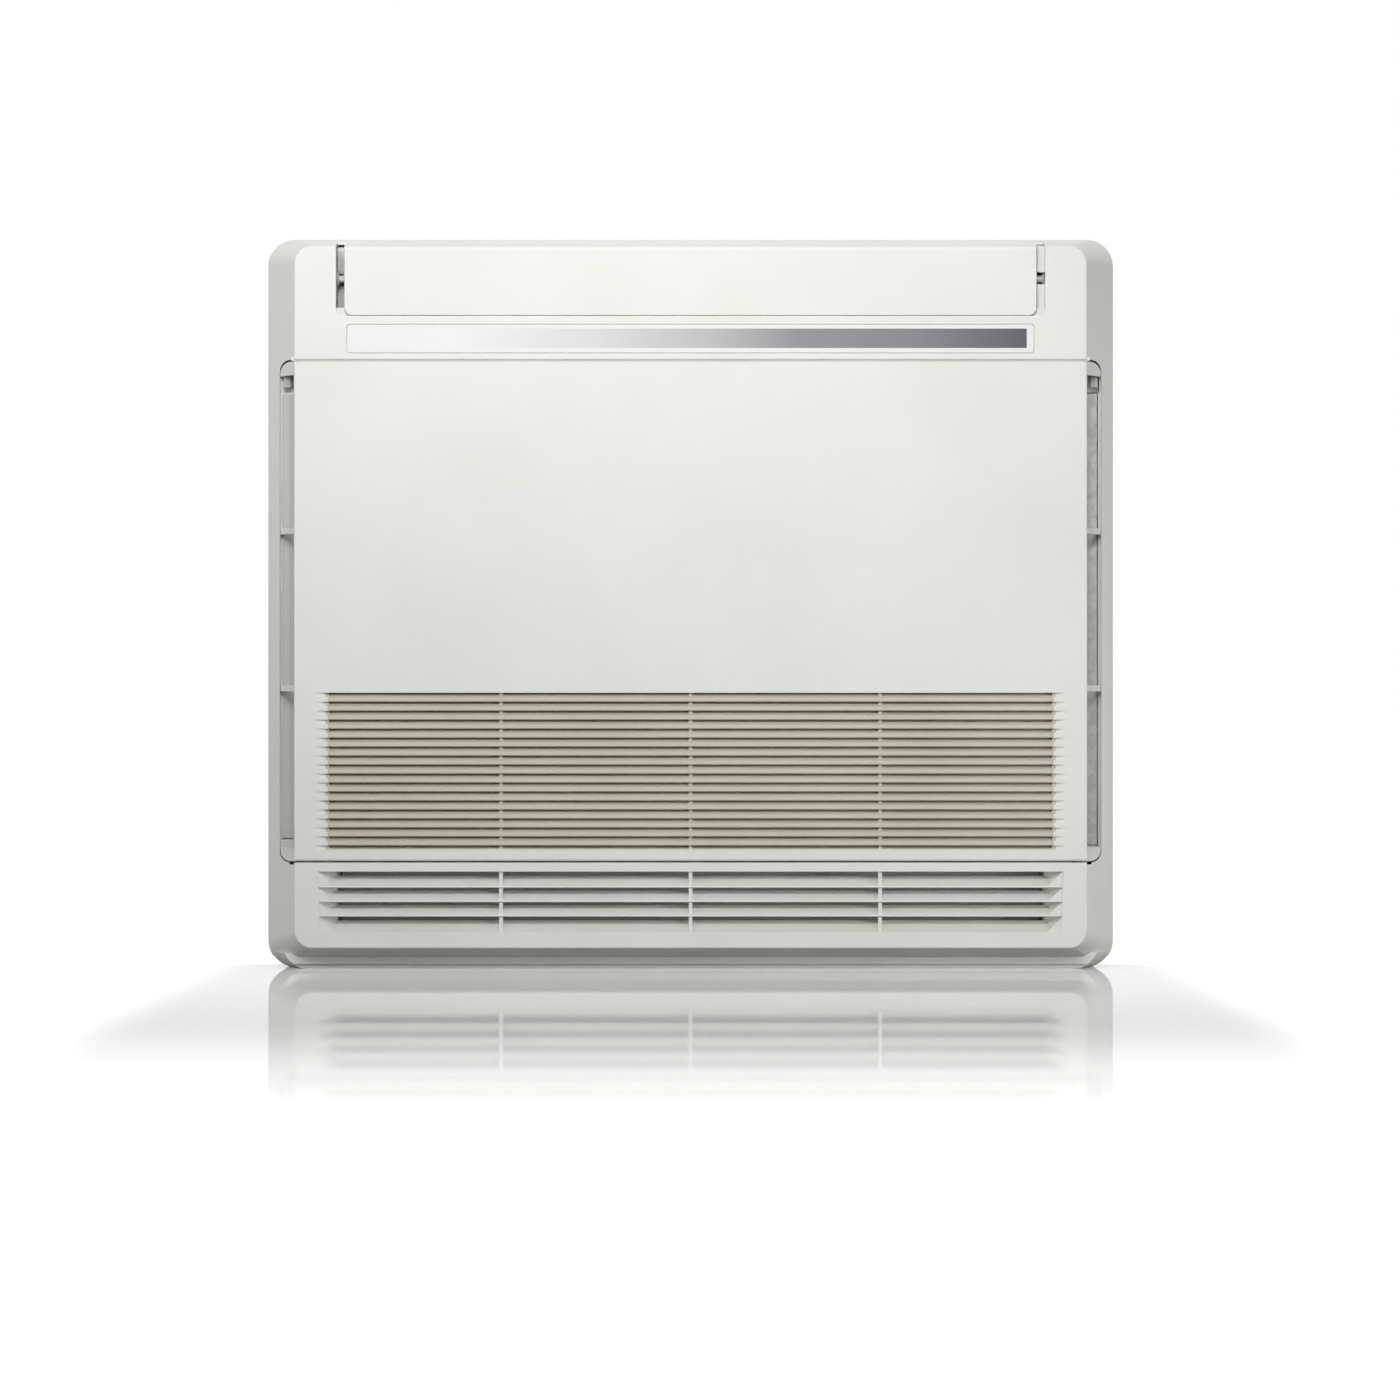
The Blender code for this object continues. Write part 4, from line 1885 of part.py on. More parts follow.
def build():
    clear_scene()
    front_cabinet()
    rear_casing()
    base_tray()
    front_panel()
    upper_flap()
    for side in (-1, 1):
        panel_latch(side)
        panel_hinge(side)
        flap_bearing(side)
        air_filter(side)
        coil_end(side)
    motor_gap = CABINET_WALL + OUTLET_HALF + FIT
    stepper_motor("flap_motor", (motor_gap, motor_gap + STEPPER_LENGTH), (PIVOT_Y, PIVOT_Z))
    damper_gap = OUTLET_HALF + DUCT_WALL + DAMPER_PIN_REACH + FIT
    stepper_motor("damper_motor", (damper_gap, damper_gap + STEPPER_LENGTH), damper_axis())
    upper_outlet_duct()
    places = vane_places()
    for side, gang in (("left", places[:VANES_PER_SIDE]), ("right", places[VANES_PER_SIDE:])):
        for index, x in enumerate(gang):
            guide_vane(f"vane_{side}_{index + 1}", x)
        vane_link(f"vane_link_{side}", gang)
    display_window()
    display_board()
    lower_outlet_grille()
    lower_outlet_duct()
    damper_blade()
    wall_bracket()
    bell_mouth()
    turbo_fan()
    motor_shaft()
    fan_nut()
    fan_motor()
    motor_bracket()
    evaporator()
    gas = (CHAMBER_LEFT - GAS_PIPE_OFFSET, KNOCKOUT_Z + KNOCKOUT_HEIGHT * 0.7)
    liquid = (CHAMBER_LEFT - LIQUID_PIPE_OFFSET, KNOCKOUT_Z + KNOCKOUT_HEIGHT * 0.3)
    refrigerant_pipe("gas_pipe", GAS_PIPE_RADIUS, gas, gas_height())
    refrigerant_pipe("liquid_pipe", LIQUID_PIPE_RADIUS, liquid, liquid_height())
    flare_nut("gas_flare_nut", GAS_NUT_RADIUS, GAS_PIPE_RADIUS, gas)
    flare_nut("liquid_flare_nut", LIQUID_NUT_RADIUS, LIQUID_PIPE_RADIUS, liquid)
    drain_pan()
    filter_frame()
    control_box()
    control_board()
    control_cover()
    power_button()
    outlet_switch()
    terminal_block()
    cable_clamp()
    room_sensor()


build()
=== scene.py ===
"""Looks of a slim floor console air conditioner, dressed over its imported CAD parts.

Metres, +Z up, the front towards -Y. The sections follow the unit as it is put together.
"""

import json
from math import cos, pi, radians, sin

import bmesh
import bpy
from mathutils import Matrix, Vector


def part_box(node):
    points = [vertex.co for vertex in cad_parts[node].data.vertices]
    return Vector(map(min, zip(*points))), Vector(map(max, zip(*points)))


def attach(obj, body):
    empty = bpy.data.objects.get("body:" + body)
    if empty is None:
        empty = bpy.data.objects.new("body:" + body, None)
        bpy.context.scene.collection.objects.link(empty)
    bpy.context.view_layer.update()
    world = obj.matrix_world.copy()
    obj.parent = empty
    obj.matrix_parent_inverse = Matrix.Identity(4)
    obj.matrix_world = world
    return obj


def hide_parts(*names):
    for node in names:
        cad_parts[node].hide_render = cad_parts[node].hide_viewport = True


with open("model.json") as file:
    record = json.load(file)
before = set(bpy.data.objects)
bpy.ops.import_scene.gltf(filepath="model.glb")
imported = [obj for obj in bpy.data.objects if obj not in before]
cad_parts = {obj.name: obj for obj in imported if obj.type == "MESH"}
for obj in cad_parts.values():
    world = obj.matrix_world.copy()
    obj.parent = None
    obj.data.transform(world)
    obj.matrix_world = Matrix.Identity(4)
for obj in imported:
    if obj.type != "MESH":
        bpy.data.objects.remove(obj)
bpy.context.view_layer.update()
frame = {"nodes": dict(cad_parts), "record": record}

# Front cabinet: one injection moulding in white ABS, 2.5 mm thick, whose flat face is framed by
# slanted bands. It hooks over the rear casing from the front. A fine spark-eroded grain breaks
# up its gloss.
CABINET_LOW, CABINET_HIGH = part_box("front_cabinet")
FRONT = CABINET_LOW.y
CABINET_BACK = CABINET_HIGH.y
HALF_WIDTH = CABINET_HIGH.x
HEIGHT = CABINET_HIGH.z
WALL = 0.0025
BAND_INSET, BAND_DEPTH, BAND_WIDTH = 0.026, 0.0545, 0.0604
BAND_REAR = FRONT + BAND_DEPTH
FACE = {"half": HALF_WIDTH - BAND_INSET, "low": 0.0185, "high": HEIGHT - 0.009, "radius": 0.015}
SIDES = {"half": HALF_WIDTH, "low": 0.0, "high": HEIGHT, "radius": 0.023}
SHELL_FOOT = 0.0098
FACE_BEND, INNER_FACE_BEND = 0.0011, 0.0004
REAR_BEND, REAR_BEND_SHARE = 0.0036, 0.06
REAR_CHAMFER = 0.0005
# The face's outline moves in by this share of the wall, because the bands lean outwards.
FACE_DRAW_IN = 0.62
OUTLET = {"half": 0.299, "low": 0.5509, "radius": 0.008}
OUTLET_REAR = -0.0683
PANEL_OPENING = {"half": HALF_WIDTH - 0.0116, "low": 0.0906, "high": 0.5152, "radius": 0.009}
PANEL_OPENING_REAR = -0.0555
# Along the panel's foot the opening's edge is thinned to this, and clears the foot behind it.
SEAM_EDGE = 0.0012
FOOT_ROOM_HALF, FOOT_ROOM = 0.3390, (0.0888, 0.0940)
LOUVRE_LOW, LOUVRE_HIGH = 0.032, 0.083
LOUVRE_HALF, LOUVRE_LEAN = 0.3145, 0.002
CORNER_STEPS = 14
WHITE_ABS, WHITE_ABS_SHADE = "E7E8E3", "E3E4DE"
SHADE_DRIFT, GRAIN_RELIEF, GLOSS_SPREAD = 0.111, 0.00004, 0.05


def linear(hex_colour):
    """An sRGB hex colour as linear RGBA."""
    channels = [int(hex_colour[i:i + 2], 16) / 255 for i in (0, 2, 4)]
    return [c / 12.92 if c < 0.04045 else ((c + 0.055) / 1.055) ** 2.4 for c in channels] + [1.0]


def add_node(tree, kind, settings=None, inputs=None):
    """A node with its settings. Each input is a value, or the output that it is linked to."""
    made = tree.nodes.new(kind)
    for name, value in (settings or {}).items():
        setattr(made, name, value)
    for key, value in (inputs or {}).items():
        if isinstance(value, bpy.types.NodeSocket):
            tree.links.new(value, made.inputs[key])
        else:
            made.inputs[key].default_value = value
    return made


def new_material(name, values):
    """A material with values on its Principled shader, and the Object coordinates for patterns."""
    made = bpy.data.materials.new(name)
    made.use_nodes = True
    tree = made.node_tree
    shader = tree.nodes["Principled BSDF"]
    for key, value in values.items():
        shader.inputs[key].default_value = value
    place = add_node(tree, "ShaderNodeTexCoord").outputs["Object"]
    return made, tree, shader, place


def mottled(tree, place, size, first, second):
    """A colour that drifts between two close shades in patches of a size, as a moulding's does."""
    drift = add_node(
        tree, "ShaderNodeTexNoise", inputs={"Vector": place, "Scale": 1 / size, "Detail": 3.0}
    )
    ramp = add_node(tree, "ShaderNodeValToRGB", inputs={"Fac": drift.outputs["Fac"]})
    stops = ramp.color_ramp.elements
    for stop, position, shade in zip(stops, (0.35, 0.65), (first, second)):
        stop.position = position
        stop.color = linear(shade)
    return ramp.outputs["Color"]


def moulded_plastic(name, light, shade, roughness, grain):
    """A moulded plastic: two close shades, and an eroded grain in its gloss and its relief."""
    made, tree, shader, place = new_material(name, {"IOR": 1.53, "Specular IOR Level": 0.45})
    tree.links.new(mottled(tree, place, SHADE_DRIFT, light, shade), shader.inputs["Base Color"])
    speckle = add_node(
        tree,
        "ShaderNodeTexNoise",
        inputs={"Vector": place, "Scale": 1 / grain, "Detail": 2.0, "Roughness": 0.6},
    )
    gloss = add_node(
        tree,
        "ShaderNodeMapRange",
        inputs={
            "Value": speckle.outputs["Fac"],
            "To Min": roughness - GLOSS_SPREAD,
            "To Max": roughness + GLOSS_SPREAD,
        },
    )
    bump = add_node(
        tree,
        "ShaderNodeBump",
        inputs={"Height": speckle.outputs["Fac"], "Strength": 0.35, "Distance": GRAIN_RELIEF},
    )
    tree.links.new(gloss.outputs["Result"], shader.inputs["Roughness"])
    tree.links.new(bump.outputs["Normal"], shader.inputs["Normal"])
    return made


# White ABS, spark-eroded: satin and a little warm. The grain is drawn at 1.6 mm, four times the
# real one, so that it shows.
white_abs = moulded_plastic("white_abs_moulded", WHITE_ABS, WHITE_ABS_SHADE, 0.42, 0.0016)


def rounded_outline(half, low, high, radius):
    """Points (x, z) of a rounded rectangle, anticlockwise as seen from the front."""
    corners = (
        (half - radius, high - radius, 0),
        (radius - half, high - radius, 90),
        (radius - half, low + radius, 180),
        (half - radius, low + radius, 270),
    )
    points = []
    for x, z, start in corners:
        for step in range(CORNER_STEPS + 1):
            angle = radians(start + 90 * step / CORNER_STEPS)
            points.append(Vector((x + radius * cos(angle), z + radius * sin(angle))))
    return points


def circle(y, z, radius, steps):
    """Points (y, z) of a circle."""
    angles = [2 * pi * i / steps for i in range(steps)]
    return [(y + radius * cos(a), z + radius * sin(a)) for a in angles]


def between(first, second, share):
    """The outline at a share of the way from one outline to another."""
    return [a.lerp(b, share) for a, b in zip(first, second)]


def grown(outline_sizes, by):
    """The sizes of a rounded outline that stands off another by the same amount all round."""
    return {
        "half": outline_sizes["half"] + by,
        "low": outline_sizes["low"] - by,
        "high": outline_sizes["high"] + by,
        "radius": outline_sizes["radius"] + by,
    }


def on_side(side, limits):
    """Limits along X, for the left side (-1) or the right (1)."""
    return sorted(side * limit for limit in limits)


def eased(rings, steps):
    """Rings that turn the crease in the middle of three (depth, outline) rings into a soft bend."""
    (y0, first), (y1, crease), (y2, last) = rings
    made = []
    for step in range(steps + 1):
        t = step / steps
        weights = ((1 - t) ** 2, 2 * t * (1 - t), t * t)
        y = y0 * weights[0] + y1 * weights[1] + y2 * weights[2]
        outline = [
            a * weights[0] + b * weights[1] + c * weights[2] for a, b, c in zip(first, crease, last)
        ]
        made.append((y, outline))
    return made


def outward(shape):
    """The closed shape with its faces turned outwards."""
    bmesh.ops.recalc_face_normals(shape, faces=shape.faces)
    if shape.calc_volume(signed=True) < 0:
        bmesh.ops.reverse_faces(shape, faces=shape.faces)
    return shape


def lofted(rings):
    """A closed shape through rings (depth, outline) with a face over the first and the last."""
    shape = bmesh.new()
    loops = [[shape.verts.new((p.x, y, p.y)) for p in outline] for y, outline in rings]
    shape.faces.new(loops[0])
    for near, far in zip(loops, loops[1:]):
        for i in range(len(near)):
            j = (i + 1) % len(near)
            shape.faces.new((near[i], far[i], far[j], near[j]))
    shape.faces.new(loops[-1][::-1])
    return outward(shape)


def block(x, y, z, bevel=0.0):
    """A block between its limits along each axis, its edges broken by a small bevel."""
    shape = bmesh.new()
    bmesh.ops.create_cube(shape, size=1)
    centre = Vector([(low + high) / 2 for low, high in (x, y, z)])
    size = Matrix.Diagonal([high - low for low, high in (x, y, z)]).to_4x4()
    bmesh.ops.transform(shape, matrix=Matrix.Translation(centre) @ size, verts=shape.verts)
    if bevel:
        bmesh.ops.bevel(
            shape, geom=list(shape.edges), offset=bevel, segments=2, profile=0.5, affect="EDGES"
        )
    return shape


def prism(outline, axis, limits):
    """A flat outline carried along an axis. Its points are in the other two axes, in order."""
    shape = bmesh.new()
    rings = []
    for limit in limits:
        ring = []
        for u, v in outline:
            place = [u, v]
            place.insert(axis, limit)
            ring.append(shape.verts.new(place))
        rings.append(ring)
    near, far = rings
    shape.faces.new(near)
    shape.faces.new(far[::-1])
    for i in range(len(near)):
        j = (i + 1) % len(near)
        shape.faces.new((near[i], far[i], far[j], near[j]))
    return outward(shape)


def together(shapes):
    """One shape that holds several."""
    whole = bmesh.new()
    for shape in shapes:
        mesh = bpy.data.meshes.new("joined")
        shape.to_mesh(mesh)
        shape.free()
        whole.from_mesh(mesh)
        bpy.data.meshes.remove(mesh)
    return whole


def work_object(shape):
    """A passing object that holds a shape while a modifier works on it."""
    mesh = bpy.data.meshes.new("work")
    shape.to_mesh(mesh)
    shape.free()
    obj = bpy.data.objects.new("work", mesh)
    bpy.context.scene.collection.objects.link(obj)
    return obj


def evaluated_shape(obj):
    """The shape of an object with its modifiers applied. The object goes."""
    bpy.context.view_layer.update()
    graph = bpy.context.evaluated_depsgraph_get()
    mesh = bpy.data.meshes.new_from_object(obj.evaluated_get(graph))
    bpy.data.objects.remove(obj, do_unlink=True)
    shape = bmesh.new()
    shape.from_mesh(mesh)
    bpy.data.meshes.remove(mesh)
    return shape


def combined(shape, other, operation="DIFFERENCE"):
    """The shape with another cut from it, or the part that both share."""
    target, tool = work_object(shape), work_object(other)
    tool.hide_render = True
    modifier = target.modifiers.new("combine", "BOOLEAN")
    modifier.operation = operation
    modifier.solver = "EXACT"
    modifier.object = tool
    result = evaluated_shape(target)
    bpy.data.objects.remove(tool, do_unlink=True)
    return result


def flared(sizes, front, back, lip=0.0005):
    """A cutter for an opening in the face, wider at its mouth so that the edge is broken."""
    wide = rounded_outline(**grown(sizes, lip))
    plain = rounded_outline(**sizes)
    return lofted(((front - 0.010, wide), (front, wide), (front + lip, plain), (back, plain)))


def piece(name, shape, finish, body, stands_for=(), smooth=28):
    """The finished piece: it rides on its body and stands for the CAD nodes that it replaces."""
    mesh = bpy.data.meshes.new(name)
    shape.to_mesh(mesh)
    shape.free()
    mesh.materials.clear()
    mesh.materials.append(finish)
    mesh.shade_smooth()
    mesh.set_sharp_from_angle(angle=radians(smooth))
    obj = bpy.data.objects.new(name, mesh)
    bpy.context.scene.collection.objects.link(obj)
    normals = obj.modifiers.new("flat faces stay flat", "WEIGHTED_NORMAL")
    normals.keep_sharp = True
    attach(obj, body)
    if stands_for:
        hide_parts(*stands_for)
    return obj


def cabinet_rings(inset, bend):
    """The shell's outline from its face to its rear edge, at a distance inside the outer skin."""
    face = rounded_outline(**grown(FACE, -inset * FACE_DRAW_IN))
    sides = rounded_outline(**grown(SIDES, -inset))
    front = FRONT + inset
    depth = BAND_REAR - FRONT
    start = rounded_outline(**grown(FACE, -inset * FACE_DRAW_IN - bend))
    onto_band = bend / BAND_WIDTH
    rings = eased(
        (
            (front, start),
            (front, face),
            (front + depth * onto_band, between(face, sides, onto_band)),
        ),
        5,
    )
    rings += eased(
        (
            (BAND_REAR - depth * REAR_BEND_SHARE, between(face, sides, 1 - REAR_BEND_SHARE)),
            (BAND_REAR, sides),
            (BAND_REAR + REAR_BEND, sides),
        ),
        5,
    )
    return rings


outer_rings = cabinet_rings(0, FACE_BEND) + [
    (CABINET_BACK - REAR_CHAMFER, rounded_outline(**SIDES)),
    (CABINET_BACK, rounded_outline(**grown(SIDES, -REAR_CHAMFER))),
]
inner_rings = cabinet_rings(WALL, INNER_FACE_BEND)
inner_rings.append((CABINET_BACK, rounded_outline(**grown(SIDES, -WALL))))
shell = lofted(outer_rings + inner_rings[::-1])
shell = combined(shell, block((-1, 1), (-1, 1), (-0.05, SHELL_FOOT)))
shell = combined(shell, flared({**OUTLET, "high": HEIGHT + 0.03}, FRONT, OUTLET_REAR))
shell = combined(shell, flared(PANEL_OPENING, FRONT, PANEL_OPENING_REAR, 0.0004))
shell = combined(shell, block(
    (-FOOT_ROOM_HALF, FOOT_ROOM_HALF), (FRONT + SEAM_EDGE, PANEL_OPENING_REAR), FOOT_ROOM
))


def louvre_outline(by):
    """The lower outlet's outline (x, z), whose ends lean in a little, grown all round."""
    top, low = LOUVRE_HIGH + by, LOUVRE_LOW - by
    half = LOUVRE_HALF + by
    return [
        Vector((half, top)),
        Vector((-half, top)),
        Vector((LOUVRE_LEAN - half, low)),
        Vector((half - LOUVRE_LEAN, low)),
    ]


shell = combined(shell, lofted((
    (FRONT - 0.01, louvre_outline(0.0001)),
    (FRONT, louvre_outline(0.0001)),
    (FRONT + 0.0002, louvre_outline(0)),
    (FRONT + 0.01, louvre_outline(0)),
)))

# The display window's seat, with a hole for the lamps inside its ledge.
DISPLAY_LOW, DISPLAY_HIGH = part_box("display_window")
DISPLAY_RADIUS, DISPLAY_GAP = 0.0028, 0.0003
SEAT_DEPTH, SEAT_LEDGE = 0.0015, 0.003
display_seat = {
    "half": DISPLAY_HIGH.x + DISPLAY_GAP,
    "low": DISPLAY_LOW.z - DISPLAY_GAP,
    "high": DISPLAY_HIGH.z + DISPLAY_GAP,
    "radius": DISPLAY_RADIUS,
}
display_hole = rounded_outline(**{**grown(display_seat, -SEAT_LEDGE), "radius": 0.001})
shell = combined(shell, flared(display_seat, FRONT, FRONT + SEAT_DEPTH, 0.0003))
shell = combined(shell, lofted(((FRONT - 0.01, display_hole), (FRONT + 0.01, display_hole))))

# Cheeks at the outlet's ends, with a bore for each bearing on the flap's axis.
CHEEK_REAR = FRONT + 0.0395
CHEEK_TOP_FRONT, CHEEK_TOP_REAR = HEIGHT - 0.0105, HEIGHT - 0.0042
PIVOT_Y, PIVOT_Z = -0.082, 0.584
BEARING_BORE, BORE_OVERRUN = 0.0058, 0.002
inside_cabinet = []
for side in (-1, 1):
    cheek_x = on_side(side, (OUTLET["half"], OUTLET["half"] + WALL))
    cheek = prism(
        (
            (FRONT + SEAM_EDGE, OUTLET["low"] - WALL),
            (CHEEK_REAR, OUTLET["low"] - WALL),
            (CHEEK_REAR, CHEEK_TOP_REAR),
            (FRONT + SEAM_EDGE, CHEEK_TOP_FRONT),
        ),
        0,
        cheek_x,
    )
    bore_x = (cheek_x[0] - BORE_OVERRUN, cheek_x[1] + BORE_OVERRUN)
    inside_cabinet.append(
        combined(cheek, prism(circle(PIVOT_Y, PIVOT_Z, BEARING_BORE, 32), 0, bore_x))
    )

# Flanges along the openings, and ledges close behind the seams that catch the light: for each
# its half width, its depth and height limits, and its broken edge.
for half, y, z, bevel in (
    (0.2995, (FRONT + SEAM_EDGE, -0.0840), (0.5484, 0.5506), 0.0003),
    (0.3310, (FRONT + SEAM_EDGE, -0.0820), (0.0863, 0.0885), 0.0003),
    (0.3310, (FRONT + SEAM_EDGE, -0.0942), (0.5155, 0.5177), 0.0003),
    (0.3310, (-0.0966, -0.0915), (0.5095, 0.5177), 0.0003),
    (0.3370, (-0.0981, -0.0950), (0.5141, 0.5170), 0.0002),
    (0.2985, (-0.0980, -0.0950), (0.5495, 0.5520), 0.0002),
):
    inside_cabinet.append(block((-half, half), y, z, bevel))

# Ribs in the gaps at the flap's ends, deep on the left and shallow on the right, then a plate
# behind each lower corner of the flap and a wall at each end of the panel's lower seam.
GAP_X, CORNER_X, SEAM_END_X = (0.2926, 0.2995), (0.2840, 0.2990), (0.3015, 0.3350)
GAP_RIBS = ((0.5512, 0.5790), (0.5890, 0.6116))
for side, gap_y in ((-1, (-0.0700, -0.0688)), (1, (-0.0925, -0.0913))):
    for gap_z in GAP_RIBS:
        inside_cabinet.append(block(on_side(side, GAP_X), gap_y, gap_z, 0.0002))
    corner = block(on_side(side, CORNER_X), (-0.0950, -0.0940), (0.5500, 0.5590), 0.0002)
    seam_end = block(on_side(side, SEAM_END_X), (-0.0820, -0.0810), (0.0863, 0.0920), 0.0002)
    inside_cabinet += [corner, seam_end]

# A wall behind the panel's lower seam, outside the sweep of its foot, and the side slots' backs.
SLOT_BACK_Y = (-0.0642, -0.0628)
SLOT_BACK_LOW, SLOT_BACK_HIGH = 0.0950, 0.5120
for x, y, z in (
    ((-0.3215, 0.3215), (-0.0870, -0.0861), (0.0863, 0.0908)),
    ((-0.3500, -0.3350), SLOT_BACK_Y, (SLOT_BACK_LOW, SLOT_BACK_HIGH)),
    ((0.3456, 0.3500), SLOT_BACK_Y, (SLOT_BACK_LOW, SLOT_BACK_HIGH)),
    ((0.3350, 0.3470), SLOT_BACK_Y, (SLOT_BACK_LOW, 0.1042)),
    ((0.3350, 0.3470), SLOT_BACK_Y, (0.4888, SLOT_BACK_HIGH)),
):
    inside_cabinet.append(block(x, y, z, 0.0002))
piece(
    "cabinet_shell",
    together([shell] + inside_cabinet),
    white_abs,
    "cabinet",
    ("front_cabinet",),
)

# Lower outlet grille: a white ABS moulding clipped in behind the cabinet's face. Three blades slope
# down to the front over a ramp, carried by three ribs, and a slanted web closes each slot's ends.
BLADE_EDGES = (0.0693, 0.0571, 0.0449)
BLADE_DEPTH, BLADE_RISE, BLADE_THICK = 0.0135, 0.0078, 0.0018
BLADE_CLEARANCE = 0.0004
RIBS_AT = (-0.160, 0.0, 0.160)
RIB = 0.0032
RAMP_RISE, RAMP_CURVE, RAMP_STEPS = 0.0093, 1.25, 8
RAMP_UNDER, RAMP_INSET = 0.0017, 0.0022
END_X, WEB_FOOT_X, END_REAR_X = 0.3142, 0.3015, 0.2990
CLIP_HALF, CLIP_LOW, CLIP_HIGH = 0.3195, 0.0270, 0.0852
louvre_start = FRONT + BLADE_CLEARANCE
louvre_end = louvre_start + BLADE_DEPTH


def blade_profile(start, end, edge, rise, thick):
    """A blade's section (y, z): a round nose, then a slope up to the back."""
    nose = thick / 2
    turn = [radians(-90 + 22.5 * i) for i in range(9)]
    outline = [(start + nose - nose * cos(a), edge + nose + nose * sin(a)) for a in turn]
    return outline + [(end, edge + rise + thick), (end, edge + rise)]


louvre = []
blade_half = LOUVRE_HALF - BLADE_CLEARANCE
for edge in BLADE_EDGES:
    section = blade_profile(louvre_start, louvre_end, edge, BLADE_RISE, BLADE_THICK)
    louvre.append(prism(section, 0, (-blade_half, blade_half)))
ramp_foot, ramp_front = LOUVRE_LOW - RAMP_UNDER, LOUVRE_LOW + 0.0002
ramp = [(louvre_start, ramp_foot), (louvre_start, ramp_front)]
for step in range(1, RAMP_STEPS + 1):
    t = step / RAMP_STEPS
    ramp.append((louvre_start + BLADE_DEPTH * t, ramp_front + RAMP_RISE * t ** RAMP_CURVE))
ramp += [(louvre_end, LOUVRE_LOW + 0.0077), (FRONT + 0.005, ramp_foot)]
louvre.append(prism(ramp, 0, (-LOUVRE_HALF + RAMP_INSET, LOUVRE_HALF - RAMP_INSET)))
for x in RIBS_AT:
    louvre.append(block(
        (x - RIB / 2, x + RIB / 2), (louvre_start + 0.0016, louvre_end - 0.0004), (0.0315, 0.0838),
        0.0003,
    ))
slot_tops = (LOUVRE_HIGH,) + BLADE_EDGES
slot_feet = [edge + BLADE_THICK for edge in BLADE_EDGES] + [LOUVRE_LOW + 0.0004]
for top, foot in zip(slot_tops, slot_feet):
    for side in (-1, 1):
        web = ((side * END_X, top), (side * END_X, foot), (side * WEB_FOOT_X, foot))
        louvre.append(prism(web, 1, (louvre_start + 0.0004, louvre_end - 0.0006)))
for side in (-1, 1):
    end = (
        (side * END_X, louvre_start + 0.0010),
        (side * END_X, louvre_end - 0.0003),
        (side * END_REAR_X, louvre_end - 0.0003),
    )
    louvre.append(prism(end, 2, (0.0324, 0.0828)))


def clip_frame(half, low, high, y, foot, head, upright, inset):
    """A flat frame of bars, each so wide. The two uprights are thinner by an inset."""
    made = [
        block((-half, half), y, (high - head, high), 0.0003),
        block((-half, half), y, (low, low + foot), 0.0003),
    ]
    for side in (-1, 1):
        made.append(block(
            on_side(side, (half - upright, half - 0.0002)), (y[0] + inset, y[1] - inset),
            (low + 0.0002, high - 0.0002), 0.0003,
        ))
    return made


louvre += clip_frame(
    CLIP_HALF, CLIP_LOW, CLIP_HIGH, (FRONT + 0.0028, FRONT + 0.005),
    foot=0.0046, head=0.0019, upright=0.0049, inset=0.0002,
)
piece("lower_louvre", together(louvre), white_abs, "cabinet", ("lower_outlet_grille",))

# Base tray: the white ABS foot, whose rounded front lip shows as a pale line under the cabinet. A
# rebate under the lip keeps it off the floor.
TRAY_LOW, TRAY_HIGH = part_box("base_tray")
LIP_FRONT = TRAY_LOW.y
TRAY_FLOOR, TRAY_REBATE = 0.0025, 0.0042
TRAY_RIBS_AT, TRAY_RIB_HALF = (-0.1993, 0.0, 0.1993), 0.002
lip_sizes = {**SIDES, "half": HALF_WIDTH - BAND_INSET * (BAND_REAR - LIP_FRONT) / BAND_DEPTH}
tray_rings = eased(
    (
        (LIP_FRONT, rounded_outline(**lip_sizes)),
        (BAND_REAR, rounded_outline(**SIDES)),
        (BAND_REAR + 0.012, rounded_outline(**SIDES)),
    ),
    8,
)
tray_rings.append((CABINET_BACK, rounded_outline(**SIDES)))
tray = combined(lofted(tray_rings), block((-1, 1), (-1, 1), (TRAY_HIGH.z, 1)))
tray = combined(tray, block(
    (-0.333, 0.333), (LIP_FRONT + 0.008, CABINET_BACK - 0.004), (TRAY_FLOOR, 0.1)
))
tray = combined(tray, block((-1, 1), (-1, LIP_FRONT + 0.004), (-0.01, TRAY_REBATE), 0.0008))
tray_ribs = [
    block((x - TRAY_RIB_HALF, x + TRAY_RIB_HALF), (FRONT + 0.045, 0.0215), (0.0022, 0.0135), 0.0003)
    for x in TRAY_RIBS_AT
]
piece("tray_shell", together([tray] + tray_ribs), white_abs, "cabinet", ("base_tray",))

# Front panel: a white ABS moulding bent at its two sides to follow the slanted bands. Its edges
# carry air slots, a return lip stiffens each side, and two pins at its foot are its hinge.
PANEL_LOW, PANEL_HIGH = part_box("front_panel")
PANEL = {"half": PANEL_HIGH.x, "low": PANEL_LOW.z, "high": PANEL_HIGH.z, "radius": 0.009}
PLATE_EDGE, FOOT_ROUND = 0.0004, 0.0024
# The bend at each side, and the band's direction across and back.
BEND, BAND_X, BAND_Y = 0.0012, 0.4305, 0.9023
SIDE_RUN, INNER_RUN, INNER_SLANT, INNER_BEND = 0.016, 0.0137, 0.0169, 0.0016
SLAT_HALF = 0.0018
FIRST_SLOT, SLOT_PITCH, SLOTS = PANEL["low"] + 0.0116, 0.00758, 18
LAST_SLOT = FIRST_SLOT + SLOT_PITCH * (SLOTS - 1)
GRILLE_HALF = 0.3060
